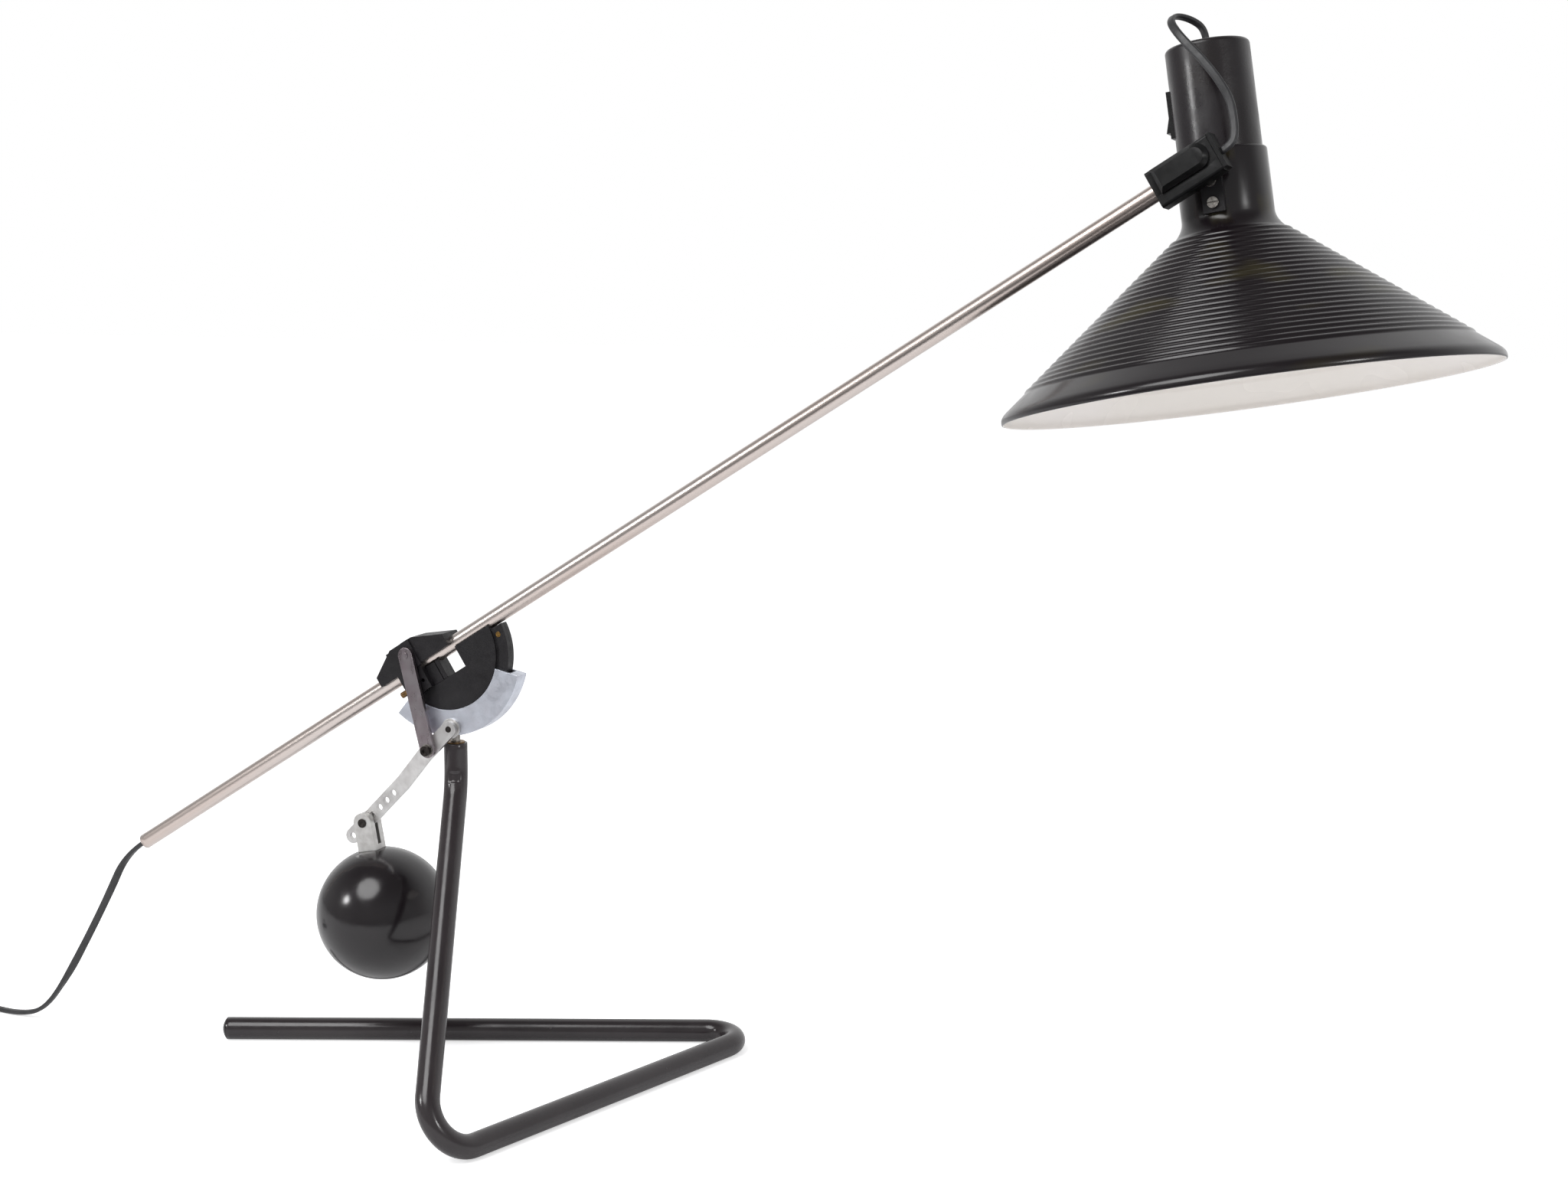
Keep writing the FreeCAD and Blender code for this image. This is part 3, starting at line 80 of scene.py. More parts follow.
Array = np.ndarray
Vec3 = tuple[float, float, float]
Obj = bpy.types.Object
Tree = bpy.types.NodeTree
Socket = bpy.types.NodeSocket
MM = 0.001
MERGE_M = 1e-6                  # points of a CAD mesh closer than this are one
FLAT = math.radians(0.6)        # faces that meet at less than this become one
SHARP_RIM = math.radians(60.0)  # only rims and mouths of turned and swept sheet stay sharp


# ---- Frames and meshes ----
@dataclass(frozen=True)
class Axes:
    """A right-handed frame in the row frame, in millimetres."""

    origin: Array
    x: Array
    y: Array
    z: Array

    def row(self, points: Array) -> Array:
        """Carries points from this frame to the row frame.

        Args:
            points: array (..., 3) in this frame, in millimetres.

        Returns:
            The same points in the row frame: origin + x*X + y*Y + z*Z.
        """
        p = np.asarray(points, float)
        return self.origin + p[..., :1] * self.x + p[..., 1:2] * self.y + p[..., 2:3] * self.z


@dataclass(frozen=True)
class LampFrames:
    """The frames of the lamp at rest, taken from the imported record.

    Attributes:
        foot: point on the floor under the swivel.
        arm: X along the tube, rolled in its clamp; arm_rise and arm_roll are its degrees.
        head: Z up the shade's axis, level with the head hinge.
        hinge_along: place of the head hinge along the arm.
        head_offset: distance of the shade's axis from the arm's plane.
        cap_above_hinge: height of the neck's cap over the hinge, along that axis.
    """

    foot: Array
    arm: Axes
    head: Axes
    arm_rise: float = 32.09
    arm_roll: float = 6.0
    hinge_along: float = 564.0
    head_offset: float = 37.7
    cap_above_hinge: float = 70.2

    def read(record: dict) -> "LampFrames":
        """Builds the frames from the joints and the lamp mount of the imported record."""
        joints = {j["name"]: j for j in record["behaviour"]["joints"]}
        mounts = {m["name"]: m for m in record["mounts"]}
        foot = np.array(joints["swivel"]["pos_m"]) / MM * np.array([1.0, 1.0, 0.0])
        hinge = np.array(joints["head_tilt"]["pos_m"]) / MM
        rise = math.radians(LampFrames.arm_rise)
        roll = math.radians(LampFrames.arm_roll)
        along = np.array([math.cos(rise), 0.0, math.sin(rise)])
        upright = np.array([-math.sin(rise), 0.0, math.cos(rise)])
        across = np.array([0.0, 1.0, 0.0])
        arm_y = across * math.cos(roll) - upright * math.sin(roll)
        arm_z = upright * math.cos(roll) + across * math.sin(roll)
        arm = Axes(hinge - along * LampFrames.hinge_along, along, arm_y, arm_z)
        head_y = -np.array(joints["head_tilt"]["axis"])
        head_z = -np.array(mounts["lamp_socket"]["axis"])
        head_x = np.cross(head_y, head_z)
        head = Axes(hinge + head_y * LampFrames.head_offset, head_x, head_y, head_z)
        return LampFrames(foot, arm, head)


def linked(name: str, data: bpy.types.ID) -> Obj:
    """Makes an object from its data and links it to the scene."""
    obj = bpy.data.objects.new(name, data)
    bpy.context.scene.collection.objects.link(obj)
    return obj


def mesh_object(name: str, points: Array, faces: Array) -> Obj:
    """Makes an object at the origin from points in millimetres.

    Args:
        name: object name.
        points: array (n, 3) in the row frame, in millimetres.
        faces: array (m, 4) of quads, or a list of polygons.

    Returns:
        The new object, linked to the scene and shaded smooth.
    """
    mesh = bpy.data.meshes.new(name)
    quads = faces.tolist() if isinstance(faces, Array) else faces
    mesh.from_pydata((np.asarray(points) * MM).tolist(), [], quads)
    mesh.update()
    mesh.shade_smooth()
    return linked(name, mesh)


def vertices(mesh: bpy.types.Mesh) -> Array:
    """Points of a mesh in millimetres, as an array (n, 3)."""
    flat = np.zeros(len(mesh.vertices) * 3)
    mesh.vertices.foreach_get("co", flat)
    return flat.reshape(-1, 3) / MM


def grid_faces(rows: int, columns: int, wrap_rows: bool, wrap_columns: bool) -> Array:
    """Quads of a grid of points.

    Args:
        rows: number of rows of points.
        columns: number of points in a row.
        wrap_rows: joins the last row to the first.
        wrap_columns: joins the last column to the first.

    Returns:
        Array (m, 4) of point numbers, row by row.
    """
    i = np.arange(rows if wrap_rows else rows - 1)
    j = np.arange(columns if wrap_columns else columns - 1)
    a, b = np.meshgrid(i, j, indexing="ij")
    a, b = a.ravel(), b.ravel()
    a1, b1 = (a + 1) % rows, (b + 1) % columns
    return np.stack([a * columns + b, a * columns + b1, a1 * columns + b1, a1 * columns + b], 1)


def revolve(name: str, frame: Axes, profile: Array, segments: int) -> Obj:
    """Turns a closed profile about Z: point (r, z) at angle t goes to (r cos t, r sin t, z).

    Args:
        name: object name.
        frame: frame whose Z is the axis.
        profile: array (n, 2) of radius and height, closed, in millimetres.
        segments: steps round the axis.

    Returns:
        The object, with a UV map: U round the axis, V along the profile in metres.
    """
    t = np.linspace(0, 2 * np.pi, segments, endpoint=False)
    r, z = profile[:, 0][:, None], profile[:, 1][:, None]
    local = np.stack([r * np.cos(t), r * np.sin(t), np.repeat(z, segments, 1)], -1)
    n = len(profile)
    obj = mesh_object(name, frame.row(local).reshape(-1, 3), grid_faces(n, segments, True, True))
    step = np.linalg.norm(np.diff(profile, axis=0, append=profile[:1]), axis=1)
    v = np.concatenate([[0.0], np.cumsum(step)]) * MM
    i = np.repeat(np.arange(n), segments)
    j = np.tile(np.arange(segments), n)
    u0, u1 = j / segments, (j + 1) / segments
    uv = np.stack([np.stack([u0, v[i]], 1), np.stack([u1, v[i]], 1),
                   np.stack([u1, v[i + 1]], 1), np.stack([u0, v[i + 1]], 1)], 1)
    layer = obj.data.uv_layers.new(name="UVMap")
    layer.data.foreach_set("uv", uv.ravel().astype(np.float32))
    outward(obj)
    return obj


def outward(obj: Obj) -> None:
    """Turns all faces of a closed mesh outwards."""
    work = bmesh.new()
    work.from_mesh(obj.data)
    bmesh.ops.recalc_face_normals(work, faces=work.faces)
    work.to_mesh(obj.data)
    work.free()


def run_length(path: Array) -> Array:
    """Distance from the start of a path to each of its points."""
    return np.concatenate([[0.0], np.cumsum(np.linalg.norm(np.diff(path, axis=0), axis=1))])


def carried(path: Array, first: Array) -> tuple[Array, Array, Array]:
    """Frame that turns as little as it can along a path.

    Args:
        path: array (m, 3).
        first: direction wanted for the normal at the start.

    Returns:
        Unit tangents, normals and their cross products, each an array (m, 3).
    """
    tangent = np.gradient(path, axis=0)
    tangent /= np.linalg.norm(tangent, axis=1)[:, None]
    normal = np.zeros_like(path)
    now = first - tangent[0] * (first @ tangent[0])
    for i, t in enumerate(tangent):
        now = now - t * (now @ t)
        now = now / np.linalg.norm(now)
        normal[i] = now
    return tangent, normal, np.cross(tangent, normal)


def tube_object(name: str, rings: Array) -> Obj:
    """Skins rings of points and caps the first and the last.

    Args:
        name: object name.
        rings: array (m, k, 3) in the row frame, in millimetres.

    Returns:
        The closed tube.
    """
    count, around = rings.shape[:2]
    ring = np.arange(around)
    faces = grid_faces(count, around, False, True).tolist()
    faces += [ring.tolist(), (ring[::-1] + (count - 1) * around).tolist()]
    obj = mesh_object(name, rings.reshape(-1, 3), faces)
    outward(obj)
    return obj


def smoothstep(value: Array, low: float, high: float) -> Array:
    """Rises smoothly from 0 at low to 1 at high: 3t^2 - 2t^3."""
    t = np.clip((value - low) / (high - low), 0.0, 1.0)
    return t * t * (3 - 2 * t)


def rounded(points: Array, radius: float, steps: int = 5) -> Array:
    """Rounds the corners of a closed outline with quadratic curves.

    Args:
        points: array (n, 2), closed.
        radius: reach of a curve from its corner, in millimetres; 0.45 of a shorter side.
        steps: points on each curve.

    Returns:
        Array (n * steps, 2).
    """
    before = np.roll(points, 1, axis=0) - points
    after = np.roll(points, -1, axis=0) - points
    reach_b = np.minimum(radius, 0.45 * np.linalg.norm(before, axis=1))[:, None]
    reach_a = np.minimum(radius, 0.45 * np.linalg.norm(after, axis=1))[:, None]
    start = points + before / np.linalg.norm(before, axis=1)[:, None] * reach_b
    end = points + after / np.linalg.norm(after, axis=1)[:, None] * reach_a
    t = np.linspace(0, 1, steps)[None, :, None]
    curve = (1 - t) ** 2 * start[:, None] + 2 * t * (1 - t) * points[:, None] + t**2 * end[:, None]
    return curve.reshape(-1, 2)


def frame_copy(name: str, node: Obj, bevel: float, angle: float) -> Obj:
    """Copies a CAD node, merges it, softens its edges and shades it smooth between them.

    Args:
        name: name of the copy.
        node: CAD node object.
        bevel: width of the broken edge in millimetres, 0 for none.
        angle: least angle of an edge that counts as sharp, in degrees.

    Returns:
        The copy, at the origin.
    """
    work = bmesh.new()
    work.from_mesh(node.data)
    bmesh.ops.remove_doubles(work, verts=work.verts, dist=MERGE_M)
    bmesh.ops.dissolve_limit(work, angle_limit=FLAT, verts=work.verts, edges=work.edges)
    mesh = bpy.data.meshes.new(name)
    work.to_mesh(mesh)
    work.free()
    mesh.materials.clear()
    mesh.shade_smooth()
    mesh.set_sharp_from_angle(angle=math.radians(angle))
    obj = linked(name, mesh)
    if bevel > 0:
        mod = obj.modifiers.new("edge", "BEVEL")
        mod.width = bevel * MM
        mod.segments = 2
        mod.limit_method = "ANGLE"
        mod.angle_limit = math.radians(angle)
        mod.harden_normals = True
        mod.use_clamp_overlap = True
    return obj


# ---- Finishes ----
def linear(code: str) -> tuple[float, float, float, float]:
    """Turns an sRGB hex colour into the linear colour that the shader takes."""
    parts = [int(code[i:i + 2], 16) / 255 for i in (1, 3, 5)]
    out = [p / 12.92 if p <= 0.04045 else ((p + 0.055) / 1.055) ** 2.4 for p in parts]
    return (out[0], out[1], out[2], 1.0)


def add(tree: Tree, kind: str, inputs: dict, **settings: object) -> bpy.types.Node:
    """Adds one node with its settings, values and links.

    Args:
        tree: node tree.
        kind: node type without its ShaderNode prefix.
        inputs: socket name or number to a value, or to an output socket that is linked to it.
        **settings: node properties.

    Returns:
        The node.
    """
    node = tree.nodes.new("ShaderNode" + kind)
    for key, value in settings.items():
        setattr(node, key, value)
    for key, value in inputs.items():
        if isinstance(value, Socket):
            tree.links.new(value, node.inputs[key])
        else:
            node.inputs[key].default_value = value
    return node


def blank(name: str) -> tuple[bpy.types.Material, Tree]:
    """Makes an empty node material."""
    material = bpy.data.materials.new(name)
    material.use_nodes = True
    material.node_tree.nodes.clear()
    return material, material.node_tree


class Coordinates(Enum):
    """Where a pattern gets its coordinates."""

    OBJECT = "Object"
    UV = "UV"


@dataclass(frozen=True)
class Grain:
    """One noise pattern: its size and how it is stretched.

    Attributes:
        size: size of one patch, in millimetres.
        stretch: factors along X, Y and Z; a small one draws the pattern out that way.
        low: noise value that gives 0.
        high: noise value that gives 1.
        detail: octaves.
        source: coordinates used.
    """

    size: float
    stretch: Vec3 = (1.0, 1.0, 1.0)
    low: float = 0.35
    high: float = 0.65
    detail: float = 3.0
    source: Coordinates = Coordinates.OBJECT

    def socket(self, tree: Tree) -> Socket:
        """Adds the pattern to a tree and returns its output, from 0 to 1."""
        place = add(tree, "TexCoord", {})
        drawn = add(tree, "Mapping", {"Vector": place.outputs[self.source.value],
                    "Scale": self.stretch})
        noise = add(tree, "TexNoise", {"Vector": drawn.outputs[0],
                    "Scale": 1.0 / (self.size * MM), "Detail": self.detail})
        span = add(tree, "MapRange", {"Value": noise.outputs[0], "From Min": self.low,
                   "From Max": self.high})
        return span.outputs[0]


def uv_grain(stretch: Vec3, low: float, high: float, detail: float) -> Grain:
    """Pattern on a piece's own UV map, where a patch is one unit before it is stretched."""
    return Grain(1000.0, stretch, low, high, detail, Coordinates.UV)


@dataclass(frozen=True)
class Finish:
    """A surface finish with two colours, two roughness values and a fine relief.

    Attributes:
        name: material name, for what the surface is.
        base, patch: hex colours of most of the surface and of its patches.
        rough, rough_patch: roughness of most of the surface and of its dull patches.
        metallic: 1 for bare or plated metal.
        ior: index of refraction of paint or plastic.
        patches, streaks, relief: patterns of the colour, the roughness and the bump.
        relief_depth: height of the bump in millimetres.
        wear, specks: hex colour of small chips, or none, and their pattern.
    """

    name: str
    base: str
    patch: str
    rough: float
    rough_patch: float
    patches: Grain = Grain(18.0)
    streaks: Grain = Grain(6.0)
    relief: Grain = Grain(0.8)
    relief_depth: float = 0.02
    metallic: float = 0.0
    ior: float = 1.5
    wear: str = ""
    specks: Grain = Grain(2.5, low=0.74, high=0.78)

    def material(self) -> bpy.types.Material:
        """Makes the material once, and returns the same one afterwards."""
        found = bpy.data.materials.get(self.name)
        if found is not None:
            return found
        material, tree = blank(self.name)
        colour = add(tree, "Mix", {0: self.patches.socket(tree), 6: linear(self.base),
                     7: linear(self.patch)}, data_type="RGBA")
        shade = colour.outputs[2]
        if self.wear:
            worn = add(tree, "Mix", {0: self.specks.socket(tree), 6: shade,
                       7: linear(self.wear)}, data_type="RGBA")
            shade = worn.outputs[2]
        rough = add(tree, "MapRange", {"Value": self.streaks.socket(tree),
                    "To Min": self.rough, "To Max": self.rough_patch})
        bump = add(tree, "Bump", {"Height": self.relief.socket(tree), "Strength": 1.0,
                   "Distance": self.relief_depth * MM})
        surface = add(tree, "BsdfPrincipled", {"Base Color": shade,
                      "Roughness": rough.outputs[0], "Metallic": self.metallic,
                      "Normal": bump.outputs[0]})
        if self.metallic < 0.5:
            surface.inputs["IOR"].default_value = self.ior
        add(tree, "OutputMaterial", {"Surface": surface.outputs[0]})
        return material

    def put_on(self, obj: Obj) -> None:
        """Gives the whole piece this finish."""
        obj.data.materials.clear()
        obj.data.materials.append(self.material())


def metal(name: str, base: str, patch: str, rough: float, rough_patch: float,
          patches: Grain = Grain(2.0), streaks: Grain = Grain(1.0), relief: Grain = Grain(0.5),
          depth: float = 0.005, **more: object) -> Finish:
    """Finish of bare or plated metal, with the fine patterns of a small turned piece."""
    return Finish(name, base, patch, rough, rough_patch, metallic=1.0, patches=patches,
                  streaks=streaks, relief=relief, relief_depth=depth, **more)


# Stoved gloss enamel on steel: deep black, slight orange peel, fine rub marks.
GLOSS_ENAMEL = Finish(
    "stoved_gloss_black_enamel", "#272224", "#2d282a", 0.18, 0.28, Grain(30.0),
    Grain(9.0, low=0.4, high=0.75), Grain(3.0, detail=1.0), 0.012, wear="#4c4a48",
    specks=Grain(1.6, low=0.80, high=0.83))
# The same enamel on the turned ball: glossier, with a few scuffs.
BALL_ENAMEL = Finish(
    "gloss_black_enamel_ball", "#151114", "#1b1719", 0.17, 0.28, Grain(25.0),
    Grain(12.0, low=0.5, high=0.8), Grain(9.0, detail=1.0), 0.03, wear="#55534f",
    specks=Grain(1.3, low=0.81, high=0.84))
# Satin enamel on the spun cup of the neck.
SATIN_ENAMEL = Finish(
    "satin_black_enamel_spun_sheet", "#171216", "#1d1818", 0.24, 0.36,
    Grain(40.0, low=0.45, high=0.75), Grain(14.0), Grain(1.5, detail=2.0), 0.015)
# The same on the stepped cone: reflections streak along the cone and round its ribs, and its olive
# streaks along the cone are painted reflection.
SHADE_OUTSIDE_PAINTED_REFLECTION = Finish(
    "satin_black_enamel_cone_painted_reflection", "#151013", "#332e15", 0.17, 0.28,
    uv_grain((7.0, 22.0, 1.0), 0.56, 0.74, 2.0), uv_grain((24.0, 30.0, 1.0), 0.35, 0.7, 2.0),
    Grain(18.0, detail=1.0))
# White enamel inside the shade, chipped in places.
WHITE_ENAMEL = Finish(
    "white_enamel_inside_shade", "#f8f3ef", "#f5f0ea", 0.22, 0.28, Grain(60.0, detail=1.0),
    Grain(40.0, detail=1.0), Grain(30.0, detail=1.0), 0.01, wear="#4a4744",
    specks=Grain(2.2, low=0.80, high=0.81))
# Moulded acetal: matt black with a fine spark-eroded grain, greyed where it is handled.
MOULDED_BLACK = Finish(
    "moulded_black_acetal", "#131114", "#1b191c", 0.38, 0.52, Grain(9.0, low=0.45, high=0.8),
    Grain(4.0), Grain(0.45), 0.03, ior=1.4)
# Deeper black, smoother moulding of the holder.
HOLDER_BLACK = Finish(
    "smooth_black_moulding", "#0a0a0b", "#101011", 0.30, 0.42, Grain(9.0, low=0.45, high=0.8),
    Grain(4.0), Grain(0.6), 0.012, ior=1.36)
# Glossier moulded plastic of the switch.
SWITCH_BLACK = Finish("switch_black_plastic", "#101011", "#151516", 0.22, 0.30,
                      relief=Grain(0.6), relief_depth=0.008, ior=1.4)
# Phenolic lampholder.
PHENOLIC = Finish("dark_phenolic_lampholder", "#1b1714", "#241d18", 0.30, 0.42)
# Nickel plate brushed along the tube: long fine lines, a warm cast in patches.
BRUSHED_NICKEL = metal("nickel_plate_brushed_along", "#cfc6c1", "#c3b3ab", 0.27, 0.34,
                       uv_grain((3.0, 4.0, 1.0), 0.4, 0.8, 2.0),
                       uv_grain((26.0, 0.8, 1.0), 0.35, 0.65, 3.0),
                       uv_grain((36.0, 0.5, 1.0), 0.3, 0.7, 2.0), 0.004)
# Bright zinc plate: bluish grey, faintly mottled, with brownish stains.
ZINC_PLATE = metal("bright_zinc_plate", "#d3d7e1", "#c4c6cf", 0.34, 0.46,
                   Grain(8.0, low=0.35, high=0.7), Grain(4.0), Grain(1.4), 0.006,
                   wear="#9a8d7e", specks=Grain(9.0, low=0.66, high=0.82))
# Satin drawn steel of the lever, nickel grey.
SATIN_LEVER = metal("satin_drawn_steel", "#d2d1d0", "#bdbbba", 0.34, 0.46, Grain(9.0),
                    Grain(1.8, (1.0, 1.0, 0.2)), Grain(0.9))
# Cast and tumbled clevis: silver grey, even and satin.
TUMBLED_GREY = metal("tumbled_silver_grey", "#d0cfcd", "#bcbab8", 0.38, 0.5, Grain(5.0),
                     Grain(2.0), Grain(0.8), 0.006)
# Plated link, grey with pink patches painted in as the room's reflection.
PLATED_LINK_PAINTED_REFLECTION = metal("plated_link_painted_pink_reflection", "#a39ca0", "#95898e", 0.24, 0.34, Grain(14.0),
                    Grain(3.0, (1.0, 1.0, 0.15)), Grain(0.9))
# Turned bright steel of pins and screws.
TURNED_STEEL = metal("turned_bright_steel", "#a9a5a0", "#7c7874", 0.24, 0.38, Grain(2.5))
# Blued steel of the pivot pin, the clevis pin and the link's screw.
BLUED_STEEL = metal("blued_steel", "#44403e", "#2f2c2b", 0.28, 0.42)
# Plain brass of the disc's rivets, the plug's pins and the lampholder's shell and contact.
PLAIN_BRASS = metal("plain_brass", "#b08a4e", "#8a6a3c", 0.26, 0.42, streaks=Grain(1.2),
                    depth=0.006)
# Oiled bronze of the swivel bush and the balance screw, browned.
OILED_BRONZE = metal("oiled_bronze_bush", "#8d7049", "#5c4731", 0.32, 0.5, Grain(2.2),
                     depth=0.01)
# Soft rubber of the grommet, the plug and the coil's tie.
SOFT_RUBBER = Finish("soft_black_rubber", "#161616", "#1d1d1d", 0.5, 0.65, relief=Grain(0.5))
# Vinyl sheath of the flat cord: dull grey black, slightly shiny on its crowns.
VINYL_SHEATH = Finish("vinyl_cord_sheath", "#242426", "#303032", 0.36, 0.5, Grain(14.0),
                      Grain(5.0), Grain(0.7), 0.01)


# ---- Sub-assemblies ----
@dataclass(frozen=True)
class Coat:
    """How a group of CAD nodes is dressed.

    The bevel is the width of the broken edge in millimetres, and the angle is the least angle of
    a sharp edge in degrees.
    """

    nodes: tuple[str, ...]
    finish: Finish
    bevel: float = 0.25
    angle: float = 32.0


@dataclass
class Dresser:
    """Dresses CAD nodes with a broken edge and a finish."""

    frame: dict
    slots: dict[str, str] = field(init=False)
    bodies: dict[str, str] = field(init=False)

    def __post_init__(self) -> None:
        """Reads which slot and body each node has."""
        record = self.frame["record"]
        self.slots = {s["node"]: s["material_slot"] for s in record["subparts"]}
        self.bodies = {n: b for b, ns in record["behaviour"]["bodies"].items() for n in ns}

    def dress(self, *coats: Coat) -> list[Obj]:
        """Replaces the nodes of some groups by softened copies.

        Args:
            *coats: the groups, in the order in which they are built.

        Returns:
            The copies.
        """
        made = []
        for coat in coats:
            for node in coat.nodes:
                cad = self.frame["nodes"][node]
                obj = frame_copy(node + "_dressed", cad, coat.bevel, coat.angle)
                coat.finish.put_on(obj)
                self.stand_in(obj, node)
                made.append(obj)
        return made

    def stand_in(self, obj: Obj, node: str) -> None:
        """Lets a piece ride and stand for a node."""
        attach(obj, self.bodies[node])
        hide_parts(node)
        LOG.info("%s stands for %s", obj.name, node)


# Arc plates, spacer, pins and washer that turn on the stand.
CRADLE = (
    Coat(("cradle_front_plate", "cradle_back_plate", "cradle_spacer"), ZINC_PLATE, 0.3),
    Coat(("cradle_pins", "swivel_pin"), TURNED_STEEL, 0.2),
    Coat(("lever_pivot_pin",), BLUED_STEEL, 0.2),
    Coat(("lever_pivot_washer",), SATIN_LEVER, 0.2),
)
# Sector disc, carriage, holder and pins on the arm.
ON_ARM = (
    Coat(("disc_front_half", "disc_back_half"), MOULDED_BLACK, 0.35),
    Coat(("carriage", "carriage_jaw", "carriage_nut_block"), MOULDED_BLACK, 0.35),
    Coat(("holder_body", "holder_cover", "holder_end_plate"), HOLDER_BLACK, 0.35),
    Coat(("disc_rivets",), PLAIN_BRASS, 0.2),
    Coat(("balance_screw",), OILED_BRONZE, 0.2),
    Coat(("head_hinge_pin", "head_hinge_washer"), TURNED_STEEL, 0.2),
)
# Lever, link and their pins.
LINKAGE = (
    Coat(("counterweight_lever",), SATIN_LEVER, 0.25),
    # The link's pink patches are painted reflection.
    Coat(("link_bar",), PLATED_LINK_PAINTED_REFLECTION, 0.3),
    Coat(("link_rivet",), PLATED_LINK_PAINTED_REFLECTION, 0.2),
    Coat(("link_screw",), BLUED_STEEL, 0.15),
    Coat(("link_washer",), TURNED_STEEL, 0.15),
)
# Ball, clevis, its pin and the ball's stud.
COUNTERWEIGHT = (
    Coat(("counterweight_ball",), BALL_ENAMEL, 0.0, 30.0),
    Coat(("clevis",), TUMBLED_GREY, 0.4),
    Coat(("clevis_pin",), BLUED_STEEL, 0.2),
    Coat(("ball_stud",), TURNED_STEEL, 0.2),
)
# Neck, switch and lampholder.
IN_HEAD = (
    Coat(("socket_cup",), SATIN_ENAMEL, 0.15, 40.0),
    Coat(("neck_bracket",), MOULDED_BLACK, 0.3),
    Coat(("bracket_screws",), TURNED_STEEL, 0.15),
    Coat(("cord_grommet",), SOFT_RUBBER, 0.15),
    Coat(("switch_housing",), SWITCH_BLACK, 0.25),
    Coat(("switch_rocker",), SWITCH_BLACK, 0.3),
    Coat(("support_nipple", "nipple_bridge", "nipple_nut"), ZINC_PLATE, 0.15),
    Coat(("lampholder_body",), PHENOLIC, 0.2, 40.0),
    Coat(("lampholder_shell", "lampholder_contact"), PLAIN_BRASS, 0.1, 40.0),
)


